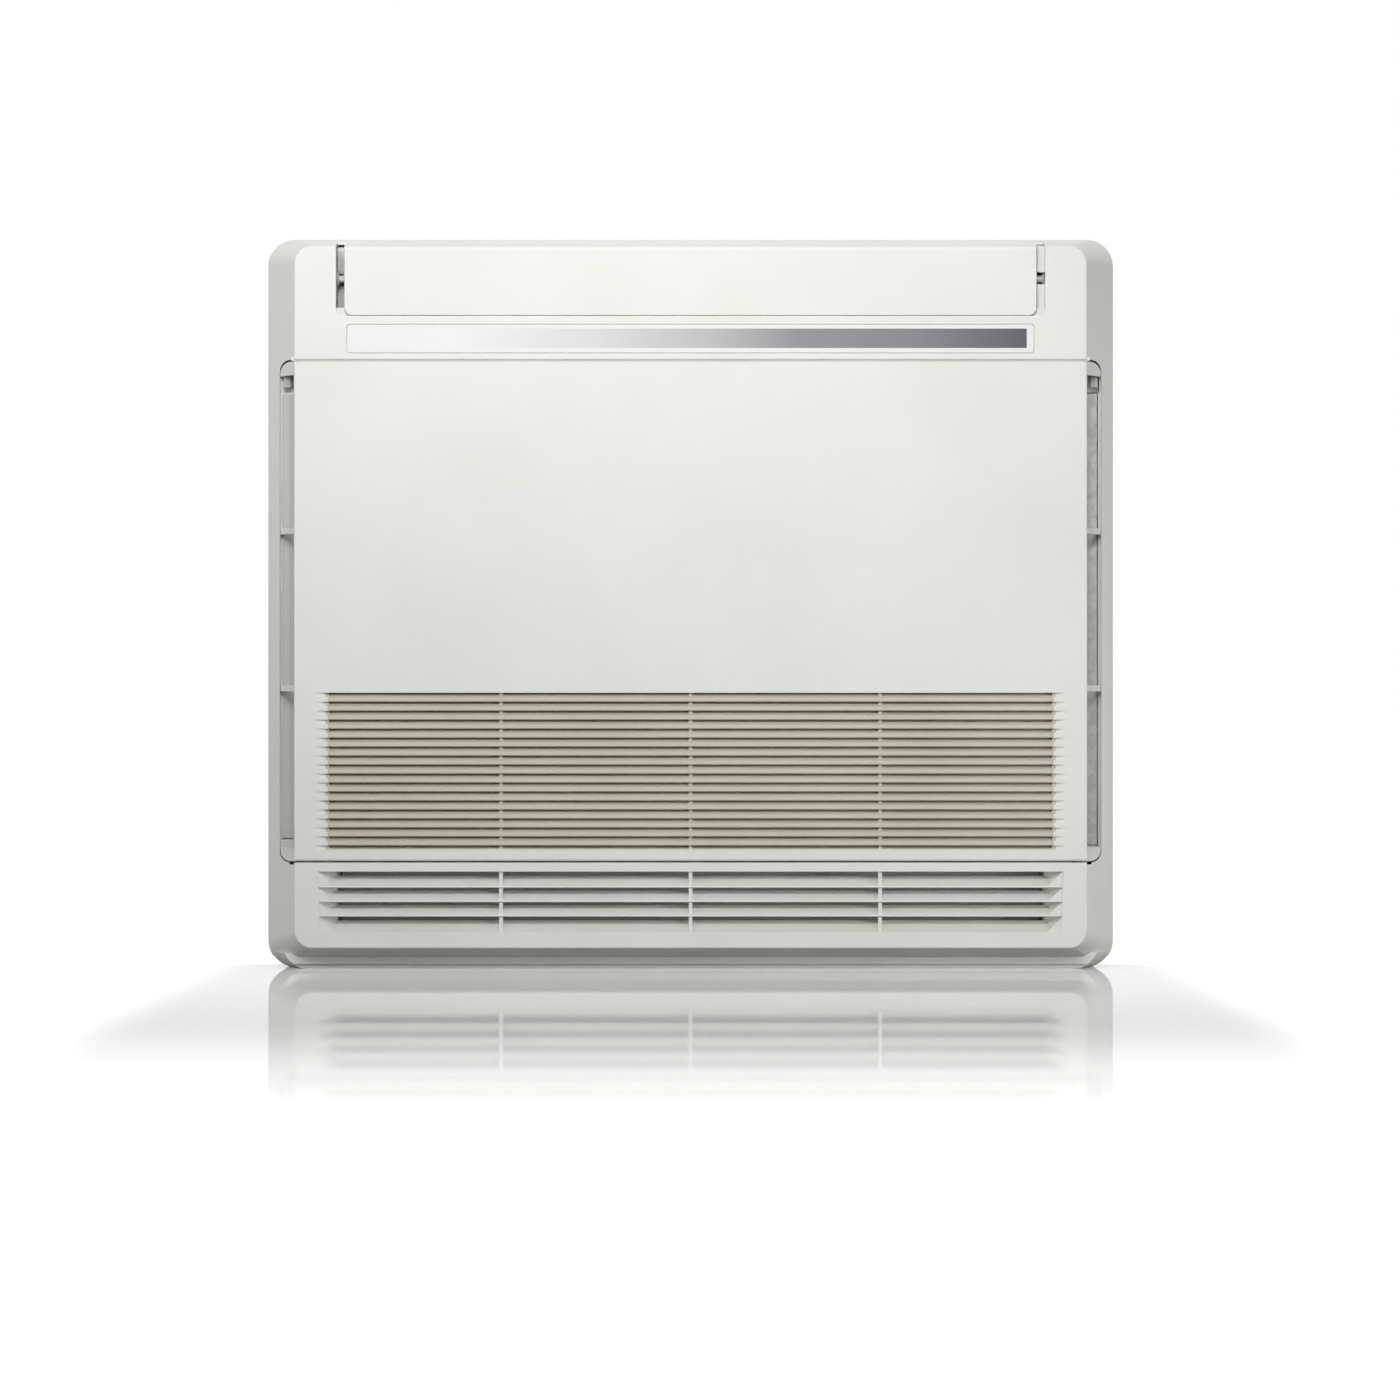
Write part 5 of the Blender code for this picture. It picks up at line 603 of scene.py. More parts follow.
# A slot's scooped end: points from the panel's middle and from its face.
SCOOP = ((0.3052, -0.001), (0.3172, -0.001), (0.3166, 0.0), (0.3052, 0.0033))
AIR_SLOTS, AIR_SLOT_X = ((0.1032, 0.2352), (0.2402, 0.3682), (0.3732, 0.5021)), (0.3346, 0.360)
LIP_X, LIP_Z, PIN_X = (0.3316, 0.3346), (0.0937, 0.5116), (0.3241, 0.3320)
LATCH_BOSS = ((-0.0846, -0.0643), (0.4909, 0.5033))
LATCH_HOLE = ((-0.0733, -0.0677), (0.4943, 0.4999))
BACK_RIB_HALF, BACK_RIB_Z = 0.00125, (0.2395, 0.4956)
BACK_START = FRONT + 0.0019
HINGE_Y, HINGE_Z, HINGE_PIN = -0.0925, 0.098, 0.002


def trimmer(sizes):
    """What a plate is cut to: its outline, a little smaller at the face to break its edge."""
    small = rounded_outline(**grown(sizes, -PLATE_EDGE))
    full = rounded_outline(**sizes)
    return lofted(((FRONT - 0.01, small), (FRONT, small), (FRONT + 0.0005, full), (0.0, full)))


edge_x = FACE["half"]
right_side = []
for step in range(6):
    t = step / 5
    right_side.append((
        edge_x - BEND * (1 - t) ** 2 + BEND * BAND_X * t * t,
        FRONT + BEND * BAND_Y * t * t,
    ))
right_side.append((edge_x + SIDE_RUN, FRONT + SIDE_RUN * BAND_Y / BAND_X))
inner_side = [
    (edge_x + INNER_RUN, FRONT + INNER_SLANT * BAND_Y / BAND_X),
    (edge_x - INNER_BEND, FRONT + WALL),
]
section = right_side + inner_side
section += [(-x, y) for x, y in reversed(section)]
skin = prism(section, 2, (PANEL["low"] - 0.01, PANEL["high"] + 0.01))
skin = combined(skin, trimmer(PANEL), "INTERSECT")
foot = [(FRONT - 0.01, PANEL["low"] - 0.01), (FRONT + 0.012, PANEL["low"] - 0.01)]
foot += [
    (FRONT + FOOT_ROUND * (1 - sin(a)), PANEL["low"] + FOOT_ROUND * (1 - cos(a)))
    for a in [pi / 2 * i / 6 for i in range(7)]
]
foot.append((FRONT - 0.01, PANEL["low"] + FOOT_ROUND))
skin = combined(skin, prism(foot, 0, (-edge_x, edge_x)))
skin = combined(skin, block(
    (-GRILLE_HALF, GRILLE_HALF),
    (FRONT - 0.01, FRONT + 0.01),
    (FIRST_SLOT - SLAT_HALF, LAST_SLOT + SLAT_HALF),
))
cutters = []
for side in (-1, 1):
    scoop = [(side * x, FRONT + y) for x, y in SCOOP]
    for index in range(SLOTS):
        z = FIRST_SLOT + SLOT_PITCH * index
        cutters.append(prism(scoop, 2, (z - SLAT_HALF, z + SLAT_HALF)))
    for slot_z in AIR_SLOTS:
        cutters.append(block(on_side(side, AIR_SLOT_X), (FRONT - 0.02, FRONT + 0.06), slot_z))
skin = combined(skin, together(cutters))
backing = []
for side in (-1, 1):
    lip_x = on_side(side, LIP_X)
    backing.append(block(lip_x, (BACK_START, -0.084), LIP_Z, 0.0004))
    boss = block(lip_x, *LATCH_BOSS, 0.0004)
    hole = block((lip_x[0] - 0.01, lip_x[1] + 0.01), *LATCH_HOLE)
    backing.append(combined(boss, hole))
    backing.append(prism(circle(HINGE_Y, HINGE_Z, HINGE_PIN, 24), 0, on_side(side, PIN_X)))
for x in RIBS_AT:
    rib_x = (x - BACK_RIB_HALF, x + BACK_RIB_HALF)
    backing.append(block(rib_x, (BACK_START, -0.092), BACK_RIB_Z, 0.0003))
piece("panel_skin", together([skin] + backing), white_abs, "panel", ("front_panel",))

# Intake grille: a white ABS insert welded in behind the panel's window, coloured a darker, warmer
# white than the cabinet's as painted shade for the gaps between its slats. Its slats are a
#  fraction under the face and rise to the back on three ribs, so that little shows between them.
SLAT_START, SLAT_END = FRONT + 0.0002, FRONT + 0.0079
SLAT_HEIGHT = SLOT_PITCH - 2 * SLAT_HALF
SLAT_REAR_LOW, SLAT_REAR_HIGH = 0.0052, 0.0075
SLAT_REACH = 0.3058
INSERT_HALF, INSERT_LOW, INSERT_HIGH, INSERT_FRONT = 0.3138, 0.0971, 0.2396, FRONT + 0.0026


def row_tree():
    """Geometry nodes that repeat a piece in a row, each copy a little off its place."""
    tree = bpy.data.node_groups.new("row", "GeometryNodeTree")
    for name, kind in (
        ("Geometry", "NodeSocketGeometry"),
        ("Count", "NodeSocketInt"),
        ("Step", "NodeSocketVector"),
        ("Stray", "NodeSocketVector"),
        ("Seed", "NodeSocketInt"),
        ("Finish", "NodeSocketMaterial"),
    ):
        tree.interface.new_socket(name, in_out="INPUT", socket_type=kind)
    tree.interface.new_socket("Geometry", in_out="OUTPUT", socket_type="NodeSocketGeometry")
    given = add_node(tree, "NodeGroupInput").outputs
    line = add_node(
        tree, "GeometryNodeMeshLine", {"mode": "OFFSET"},
        {"Count": given["Count"], "Offset": given["Step"]},
    )
    less = add_node(
        tree, "ShaderNodeVectorMath", {"operation": "MULTIPLY"},
        {0: given["Stray"], 1: (-1.0, -1.0, -1.0)},
    )
    stray = add_node(
        tree, "FunctionNodeRandomValue", {"data_type": "FLOAT_VECTOR"},
        {"Min": less.outputs[0], "Max": given["Stray"], "Seed": given["Seed"]},
    )
    placed = add_node(
        tree, "GeometryNodeSetPosition",
        inputs={"Geometry": line.outputs["Mesh"], "Offset": stray.outputs["Value"]},
    )
    copies = add_node(
        tree, "GeometryNodeInstanceOnPoints",
        inputs={"Points": placed.outputs["Geometry"], "Instance": given["Geometry"]},
    )
    real = add_node(
        tree, "GeometryNodeRealizeInstances", inputs={"Geometry": copies.outputs["Instances"]}
    )
    finished = add_node(
        tree, "GeometryNodeSetMaterial",
        inputs={"Geometry": real.outputs["Geometry"], "Material": given["Finish"]},
    )
    add_node(tree, "NodeGroupOutput", inputs={"Geometry": finished.outputs["Geometry"]})
    return tree


ROW = row_tree()
ROW_SEED = 7


def repeated(shape, finish, count, step, stray=(0.0, 0.0, 0.0)):
    """A shape repeated in a row of so many copies, one step apart."""
    obj = work_object(shape)
    modifier = obj.modifiers.new("row", "NODES")
    modifier.node_group = ROW
    sockets = {item.name: item.identifier for item in ROW.interface.items_tree
               if item.in_out == "INPUT"}
    for name, value in (
        ("Count", count), ("Step", step), ("Stray", stray), ("Seed", ROW_SEED), ("Finish", finish)
    ):
        modifier[sockets[name]] = value
    return evaluated_shape(obj)


# A duller ABS than the cabinet's, with the same grain, in a darker, warmer white that is painted
# shade: the slats carry the shade of the gaps between them, so the grille reads a shade darker.
grille_abs_painted_shade = moulded_plastic("warm_white_abs_painted_shade", "CCC7B9", "C6C1B2", 0.46, 0.0016)
slat_low = FIRST_SLOT + SLAT_HALF
slat = [(SLAT_START, slat_low + 0.0005), (SLAT_START + 0.0005, slat_low)]
slat += [(SLAT_END, slat_low + SLAT_REAR_LOW), (SLAT_END, slat_low + SLAT_REAR_HIGH)]
slat += [
    (SLAT_START + 0.0010, slat_low + SLAT_HEIGHT),
    (SLAT_START, slat_low + SLAT_HEIGHT - 0.0010),
]
sill = [(INSERT_FRONT, 0.0995), (INSERT_FRONT, 0.1022), (SLAT_END, 0.1049), (SLAT_END, 0.1020)]
grille = [
    repeated(
        prism(slat, 0, (-SLAT_REACH, SLAT_REACH)), grille_abs_painted_shade, SLOTS - 1, (0.0, 0.0, SLOT_PITCH)
    ),
    prism(sill, 0, (-SLAT_REACH, SLAT_REACH)),
]
for x in RIBS_AT:
    grille.append(block(
        (x - RIB / 2, x + RIB / 2), (FRONT + 0.0032, FRONT + 0.0076),
        (FIRST_SLOT - SLAT_HALF - 0.002, LAST_SLOT + SLAT_HALF + 0.002), 0.0003,
    ))
grille += clip_frame(
    INSERT_HALF, INSERT_LOW, INSERT_HIGH, (INSERT_FRONT, SLAT_END),
    foot=0.0041, head=0.0053, upright=0.0088, inset=0.0003,
)
piece("intake_grille", together(grille), grille_abs_painted_shade, "panel", smooth=20)

# Upper flap: a white ABS blade that closes the upper outlet. Its lip covers the top edge, webs
# stiffen it behind, and pins on its end webs turn in the cheeks' bearings.
FLAP_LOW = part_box("upper_flap")[0].z
FLAP_HALF, FLAP_WALL, FLAP_REAR = 0.292, 0.003, -0.0735
FLAP_NOSE, NOSE_SLOPE = 0.0034, 0.165
# The band over the face rises by this while it goes back by its whole depth.
TOP_RISE = 0.009
FLAP_WEBS_AT, FLAP_WEB_HALF = (-0.2902, -0.0973, 0.0973, 0.2902), 0.0015
FLAP_PIN, FLAP_PIN_X = 0.003, (0.2905, 0.3012)
outer = [(FRONT, FLAP_LOW)]
for step in range(9):
    t = step / 8
    start, crease = Vector((FRONT, FACE["high"] - FLAP_NOSE)), Vector((FRONT, FACE["high"]))
    end = Vector((FRONT + FLAP_NOSE, FACE["high"] + FLAP_NOSE * NOSE_SLOPE))
    place = start * (1 - t) ** 2 + crease * 2 * t * (1 - t) + end * t * t
    outer.append((place.x, place.y))
outer.append((FLAP_REAR, FACE["high"] + TOP_RISE * (FLAP_REAR - FRONT) / BAND_DEPTH))
inner = [
    (FLAP_REAR, outer[-1][1] - FLAP_WALL),
    (FRONT + 0.0047, FACE["high"] - FLAP_WALL + 0.0005),
    (FRONT + FLAP_WALL, FACE["high"] - 0.0045),
    (FRONT + FLAP_WALL, FLAP_LOW),
]
flap = prism(outer + inner, 0, (-FLAP_HALF, FLAP_HALF))
flap_sizes = {"half": FLAP_HALF, "low": FLAP_LOW, "high": HEIGHT + 0.05, "radius": 0.0066}
flap_parts = [combined(flap, trimmer(flap_sizes), "INTERSECT")]
web = (
    (FRONT + 0.0024, 0.5705), (-0.079, 0.5765), (-0.0754, 0.584), (-0.079, 0.5915),
    (FRONT + 0.0024, 0.5975),
)
for x in FLAP_WEBS_AT:
    flap_parts.append(prism(web, 0, (x - FLAP_WEB_HALF, x + FLAP_WEB_HALF)))
for side in (-1, 1):
    pin = circle(PIVOT_Y, PIVOT_Z, FLAP_PIN, 28)
    flap_parts.append(prism(pin, 0, on_side(side, FLAP_PIN_X)))
piece("flap_blade", together(flap_parts), white_abs, "flap", ("upper_flap",))

# Display window: a strip of clear acrylic whose back is printed, pale at its left end and smoke
#  grey over the lamps at its right, inside a white border printed a shade brighter than the
#  cabinet, a painted highlight round the window's edge. It lies flush in its seat.
STRIP_LOW, STRIP_HIGH, STRIP_RIGHT = 0.5247, 0.5411, 0.2837
PRINT_EDGE, FILM_WAVE = 0.00015, 0.0167
SMOKE = (
    (-0.200, "F0F0F0"), (-0.080, "DCDCDD"), (0.020, "BDBDBF"), (0.090, "949496"),
    (0.190, "87878A"), (0.280, "606066"),
)


def faded(tree, value, kind, *edges):
    """A value cut off past edges: for each a coordinate, where it is nought and where whole."""
    for coordinate, nought, whole in edges:
        fade = add_node(
            tree, "ShaderNodeMapRange", {"interpolation_type": kind},
            {"Value": coordinate, "From Min": nought, "From Max": whole},
        )
        value = add_node(
            tree, "ShaderNodeMath", {"operation": "MULTIPLY"},
            {0: value, 1: fade.outputs["Result"]},
        ).outputs[0]
    return value


# Clear acrylic, moulded bright: the one sharp gloss on the front, over the print behind it.
acrylic, tree, shader, place = new_material(
    "clear_acrylic_printed", {"IOR": 1.49, "Specular IOR Level": 0.5}
)
axes = add_node(tree, "ShaderNodeSeparateXYZ", inputs={"Vector": place}).outputs
along = add_node(
    tree,
    "ShaderNodeMapRange",
    inputs={"Value": axes["X"], "From Min": SMOKE[0][0], "From Max": SMOKE[-1][0]},
)
ramp = add_node(tree, "ShaderNodeValToRGB", inputs={"Fac": along.outputs["Result"]})
stops = ramp.color_ramp.elements
for x, colour in SMOKE[1:-1]:
    stop = stops.new((x - SMOKE[0][0]) / (SMOKE[-1][0] - SMOKE[0][0]))
    stop.color = linear(colour)
stops[0].color = linear(SMOKE[0][1])
stops[-1].color = linear(SMOKE[-1][1])
inside = faded(
    tree, 1.0, "LINEAR",
    (axes["Z"], STRIP_LOW - PRINT_EDGE, STRIP_LOW + PRINT_EDGE),
    (axes["Z"], STRIP_HIGH + PRINT_EDGE, STRIP_HIGH - PRINT_EDGE),
    (axes["X"], STRIP_RIGHT + PRINT_EDGE, STRIP_RIGHT - PRINT_EDGE),
)
# Outside the strip the print is a white a shade brighter than the cabinet: a painted highlight
# along the window's edge.
printed = add_node(
    tree, "ShaderNodeMix", {"data_type": "RGBA"},
    {"Factor": inside, 6: linear("EFEFED"), 7: ramp.outputs["Color"]},
)
film = add_node(
    tree, "ShaderNodeTexNoise", inputs={"Vector": place, "Scale": 1 / FILM_WAVE, "Detail": 2.0}
)
sheen = add_node(
    tree,
    "ShaderNodeMapRange",
    inputs={"Value": film.outputs["Fac"], "To Min": 0.05, "To Max": 0.10},
)
tree.links.new(printed.outputs[2], shader.inputs["Base Color"])
tree.links.new(sheen.outputs["Result"], shader.inputs["Roughness"])
window_sizes = {
    "half": DISPLAY_HIGH.x, "low": DISPLAY_LOW.z, "high": DISPLAY_HIGH.z,
    "radius": DISPLAY_RADIUS - DISPLAY_GAP,
}
window = lofted((
    (FRONT, rounded_outline(**grown(window_sizes, -0.0003))),
    (FRONT + 0.0003, rounded_outline(**window_sizes)),
    (DISPLAY_HIGH.y, rounded_outline(**window_sizes)),
))
piece("window_strip", window, acrylic, "cabinet", ("display_window",))

# Air filters: a frame of beige polypropylene with a woven net in its cells. Each slides up out of
# its rails behind the panel. The net is drawn at a pitch of 1.5 mm, a little coarser than the real
# one, so that its threads stay whole.
FILTER_BAR, FILTER_COLUMNS, FILTER_ROWS = 0.006, 3, 4
FILTER_TAB_HALF, FILTER_TAB_HEIGHT = 0.030, 0.0035
NET_PITCH, THREAD_HALF, THREAD_STRAY = 0.0015, 0.00032, 0.0001
# Polypropylene, moulded: matt and a little waxy, in the beige that tells a filter apart.
filter_plastic = moulded_plastic("beige_polypropylene_moulded", "A39A86", "9C937F", 0.55, 0.0014)


def bars(x, y, z, columns, rows, width):
    """A flat frame with its cross bars. The level bars are a little thinner than the uprights."""
    made = []
    for i in range(columns + 1):
        middle = x[0] + width / 2 + (x[1] - x[0] - width) * i / columns
        made.append(block((middle - width / 2, middle + width / 2), y, z, 0.0004))
    for i in range(rows + 1):
        middle = z[0] + width / 2 + (z[1] - z[0] - width) * i / rows
        made.append(block(
            x, (y[0] + 0.0003, y[1] - 0.0003), (middle - width / 2, middle + width / 2), 0.0004,
        ))
    return made


for side in ("left", "right"):
    low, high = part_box("air_filter_" + side)
    middle = (low.x + high.x) / 2
    top = high.z - FILTER_TAB_HEIGHT
    parts = bars(
        (low.x, high.x), (low.y, high.y), (low.z, top), FILTER_COLUMNS, FILTER_ROWS, FILTER_BAR
    )
    parts.append(block(
        (middle - FILTER_TAB_HALF, middle + FILTER_TAB_HALF), (low.y + 0.0006, high.y - 0.0006),
        (top - 0.002, high.z), 0.0004,
    ))
    net_y = (low.y + high.y) / 2
    thread_y = (net_y - THREAD_HALF, net_y + THREAD_HALF)
    upright = block(
        (low.x + 0.004, low.x + 0.004 + 2 * THREAD_HALF), thread_y, (low.z + 0.003, top - 0.003)
    )
    parts.append(repeated(
        upright, filter_plastic, int((high.x - low.x - 0.008) / NET_PITCH), (NET_PITCH, 0.0, 0.0),
        (THREAD_STRAY, THREAD_STRAY / 2, 0.0),
    ))
    across = block(
        (low.x + 0.003, high.x - 0.003), thread_y, (low.z + 0.004, low.z + 0.004 + 2 * THREAD_HALF)
    )
    parts.append(repeated(
        across, filter_plastic, int((top - low.z - 0.008) / NET_PITCH), (0.0, 0.0, NET_PITCH),
        (0.0, THREAD_STRAY / 2, THREAD_STRAY),
    ))
    piece(
        "filter_net_" + side, together(parts), filter_plastic, "filter_" + side,
        ("air_filter_" + side,),
    )

# Evaporator: thin aluminium fins pressed onto copper tubes, 2 mm apart as on the real coil. A
# blue-grey coat that sheds water takes off most of their shine, over a rolled grain of 1 mm.
FIN_PITCH, FIN_THICKNESS = 0.0020, 0.00025
ROLLED_GRAIN, COAT_DRIFT = 0.00111, 0.0714
TUBE_ROWS, TUBE_PITCH, TUBES = (-0.0555, -0.0425), 0.0168, 23
TUBE_RADIUS, FIRST_TUBE = 0.0035, 0.0132
aluminium, tree, shader, place = new_material("rolled_aluminium_coated", {"Metallic": 1.0})
rolled = add_node(
    tree, "ShaderNodeMapping", inputs={"Vector": place, "Scale": (1.0, 1.0, 0.04)}
)
grain = add_node(
    tree, "ShaderNodeTexNoise",
    inputs={"Vector": rolled.outputs["Vector"], "Scale": 1 / ROLLED_GRAIN, "Detail": 2.0},
)
gloss = add_node(
    tree,
    "ShaderNodeMapRange",
    inputs={"Value": grain.outputs["Fac"], "To Min": 0.32, "To Max": 0.48},
)
tree.links.new(gloss.outputs["Result"], shader.inputs["Roughness"])
coat = mottled(tree, place, COAT_DRIFT, "BCC0C3", "B0B5B9")
tree.links.new(coat, shader.inputs["Base Color"])
low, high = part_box("evaporator_fins")
fin = block((low.x, low.x + FIN_THICKNESS), (low.y, high.y), (low.z, high.z))
fins = [repeated(fin, aluminium, int((high.x - low.x) / FIN_PITCH) + 1, (FIN_PITCH, 0.0, 0.0))]
for y in TUBE_ROWS:
    tube = circle(y, low.z + FIRST_TUBE, TUBE_RADIUS, 10)
    tube = prism(tube, 0, (low.x + 0.0001, high.x - 0.0001))
    fins.append(repeated(tube, aluminium, TUBES, (0.0, 0.0, TUBE_PITCH)))
piece("fin_pack", together(fins), aluminium, "cabinet", ("evaporator_fins",))


# Inner pieces that keep their CAD shape: the casings, ducts, vanes, fan, coil ends, pipes, motors
# and boards. Each takes the finish of its own real material: moulded ABS, drawn, turned or coated
# metal, bead foam or a printed board.
def bare_metal(name, light, shade, roughness, spread, pattern, size):
    """A bare metal: two close shades and an uneven gloss, both from one pattern of a size."""
    made, tree, shader, place = new_material(name, {"Metallic": 1.0})
    if pattern == "SPANGLE":
        cells = add_node(
            tree, "ShaderNodeTexVoronoi", inputs={"Vector": place, "Scale": 1 / size}
        )
        value = add_node(
            tree, "ShaderNodeSeparateXYZ", inputs={"Vector": cells.outputs["Color"]}
        ).outputs["X"]
    else:
        value = add_node(
            tree, "ShaderNodeTexNoise", inputs={"Vector": place, "Scale": 1 / size, "Detail": 4.0}
        ).outputs["Fac"]
    ramp = add_node(tree, "ShaderNodeValToRGB", inputs={"Fac": value})
    ramp.color_ramp.elements[0].color = linear(light)
    ramp.color_ramp.elements[1].color = linear(shade)
    gloss = add_node(
        tree,
        "ShaderNodeMapRange",
        inputs={"Value": value, "To Min": roughness - spread, "To Max": roughness + spread},
    )
    tree.links.new(ramp.outputs["Color"], shader.inputs["Base Color"])
    tree.links.new(gloss.outputs["Result"], shader.inputs["Roughness"])
    return made


# Grey and near-black ABS, moulded with a fine grain: matt, and plain beside the white. The pale
# grey is the grey made lighter, a painted light for parts that lie in shade.
grey_abs = moulded_plastic("grey_abs_moulded", "B4B5B2", "AEAFAC", 0.50, 0.0014)
pale_abs_painted_light = moulded_plastic("pale_grey_abs_painted_light", "C9C9C4", "C4C4BF", 0.48, 0.0014)
dark_abs = moulded_plastic("near_black_abs_moulded", "232324", "1D1D1E", 0.48, 0.0014)
# Drawn copper tube, a little tarnished: brown patches of some 17 mm dull its red.
copper = bare_metal("drawn_copper_tarnished", "B9724F", "8F5236", 0.34, 0.10, "DRIFT", 0.0167)
# Turned brass, handled: a yellow gloss, uneven over some 6 mm.
brass = bare_metal("turned_brass", "C2A35C", "A98A46", 0.28, 0.07, "DRIFT", 0.00625)
# Zinc-coated steel sheet: the zinc's crystals show as flat grey patches of 5 mm.
zinc_steel = bare_metal(
    "zinc_coated_steel_sheet", "B1B3B1", "A8AAA9", 0.58, 0.06, "SPANGLE", 0.00526
)

# Bead foam of white polystyrene: beads of 3 mm pressed flat against each other, which leave a
# faint honeycomb in its matt white.
BEAD = 0.00303
foam, tree, shader, place = new_material(
    "bead_foam_polystyrene", {"Roughness": 0.72, "IOR": 1.55, "Specular IOR Level": 0.35}
)
beads = add_node(
    tree, "ShaderNodeTexVoronoi", {"feature": "DISTANCE_TO_EDGE"},
    {"Vector": place, "Scale": 1 / BEAD},
)
rim = add_node(
    tree, "ShaderNodeMapRange", inputs={"Value": beads.outputs["Distance"], "From Max": 0.12}
).outputs["Result"]
pressed = add_node(
    tree, "ShaderNodeBump", inputs={"Height": rim, "Strength": 0.6, "Distance": 0.0002}
)
shades = add_node(tree, "ShaderNodeValToRGB", inputs={"Fac": rim})
shades.color_ramp.elements[0].color = linear("D2D2CE")
shades.color_ramp.elements[1].color = linear("E6E6E2")
tree.links.new(shades.outputs["Color"], shader.inputs["Base Color"])
tree.links.new(pressed.outputs["Normal"], shader.inputs["Normal"])

# Circuit board: green solder resist over copper tracks, on glass-filled epoxy. The tracks show
# through as a paler green, under a thin gloss.
TRACK_PITCH, RESIST_RIPPLE = 0.00625, 0.00333
board, tree, shader, place = new_material("green_solder_resist_board", {"IOR": 1.55})
tracks = add_node(
    tree, "ShaderNodeTexBrick", {"offset": 0.5},
    {
        "Vector": place, "Scale": 1 / TRACK_PITCH, "Mortar Size": 0.035,
        "Color1": linear("1F5A3A"), "Color2": linear("256844"), "Mortar": linear("3C8A5E"),
    },
)
resist = add_node(
    tree, "ShaderNodeTexNoise", inputs={"Vector": place, "Scale": 1 / RESIST_RIPPLE}
)
gloss = add_node(
    tree,
    "ShaderNodeMapRange",
    inputs={"Value": resist.outputs["Fac"], "To Min": 0.28, "To Max": 0.42},
)
tree.links.new(tracks.outputs["Color"], shader.inputs["Base Color"])
tree.links.new(gloss.outputs["Result"], shader.inputs["Roughness"])

SLOT_FINISH = {
    "white_abs": white_abs, "grey_abs": grey_abs, "dark_abs": dark_abs, "copper_tube": copper,
    "brass_fitting": brass, "steel_sheet": zinc_steel, "foam_duct": foam, "circuit_board": board,
    "aluminium_fins": aluminium, "filter_net": filter_plastic, "smoked_acrylic": acrylic,
}
for row in frame["record"]["subparts"]:
    frame["nodes"][row["node"]].material_slots[0].material = SLOT_FINISH[row["material_slot"]]
# The filter frames and the damper blade take the pale grey in place of their own finish: painted
# light that lifts them where they lie in shade behind the slots and the outlet.
for name in ("filter_frame", "damper_blade"):
    frame["nodes"][name].material_slots[0].material = pale_abs_painted_light

# Stage: a pale floor, polished in a strip in front of the unit and fading to white round it. Over
# the near part of the strip its glow is lower, a painted shadow in front of the unit.
#  The mirror and the glow are for the camera alone, so the floor throws little light back up.
FLOOR_SIZE = 12.0
FLOOR_TO_CAMERA, FLOOR_TO_OTHERS, MIRROR_TINT = "F6F6F6", "AEAEAE", "F3F3F3"
GLOW_OPEN, GLOW_PAINTED_SHADOW, MIRROR_SHARE = 0.80, 0.32, 0.60
# Where each effect is nought and where it is whole: the strip aside and behind the front, then
#  the painted shadow, the mirror's far end and its fall towards the camera, all three along Y.
STRIP_ASIDE, STRIP_BEHIND = (0.450, 0.365), (0.05, -0.02)
PAINTED_SHADOW_ENDS, MIRROR_ENDS, MIRROR_FALL = (-1.75, -0.95), (-2.1, -1.7), (-3.6, -0.45)
floor, tree, shader, place = new_material(
    "pale_floor_polished", {"Roughness": 0.9, "Specular IOR Level": 0.0}
)
shader.inputs["Emission Color"].default_value = linear("FFFFFF")
seen = add_node(tree, "ShaderNodeLightPath").outputs["Is Camera Ray"]
axes = add_node(tree, "ShaderNodeSeparateXYZ", inputs={"Vector": place}).outputs
aside = add_node(tree, "ShaderNodeMath", {"operation": "ABSOLUTE"}, {0: axes["X"]}).outputs[0]
shade = add_node(
    tree, "ShaderNodeMix", {"data_type": "RGBA"},
    {"Factor": seen, 6: linear(FLOOR_TO_OTHERS), 7: linear(FLOOR_TO_CAMERA)},
)
tree.links.new(shade.outputs[2], shader.inputs["Base Color"])
strip = faded(tree, seen, "SMOOTHSTEP", (aside, *STRIP_ASIDE), (axes["Y"], *STRIP_BEHIND))
# Near the unit the strip's glow drops from open to shaded: a painted shadow on the floor.
painted_shadow = faded(tree, strip, "SMOOTHSTEP", (axes["Y"], *PAINTED_SHADOW_ENDS))
glow = add_node(
    tree,
    "ShaderNodeMapRange",
    inputs={"Value": painted_shadow, "To Min": GLOW_OPEN, "To Max": GLOW_PAINTED_SHADOW},
)
glow = add_node(
    tree, "ShaderNodeMath", {"operation": "MULTIPLY"}, {0: seen, 1: glow.outputs["Result"]}
)
tree.links.new(glow.outputs[0], shader.inputs["Emission Strength"])
mirror = add_node(
    tree, "ShaderNodeBsdfGlossy", inputs={"Roughness": 0.03, "Color": linear(MIRROR_TINT)}
)
mirrored = faded(tree, strip, "SMOOTHSTEP", (axes["Y"], *MIRROR_ENDS))
mirrored = faded(tree, mirrored, "LINEAR", (axes["Y"], *MIRROR_FALL))
mirrored = add_node(
    tree, "ShaderNodeMath", {"operation": "MULTIPLY"}, {0: mirrored, 1: MIRROR_SHARE}
)
polish = add_node(
    tree, "ShaderNodeMixShader",
    inputs={0: mirrored.outputs[0], 1: shader.outputs["BSDF"], 2: mirror.outputs["BSDF"]},
)
tree.links.new(polish.outputs["Shader"], tree.nodes["Material Output"].inputs["Surface"])
floor_shape = bmesh.new()
bmesh.ops.create_grid(floor_shape, x_segments=2, y_segments=2, size=FLOOR_SIZE)
floor_mesh = bpy.data.meshes.new("floor")
floor_shape.to_mesh(floor_mesh)
floor_shape.free()
floor_mesh.materials.append(floor)
floor_object = bpy.data.objects.new("floor", floor_mesh)
bpy.context.scene.collection.objects.link(floor_object)


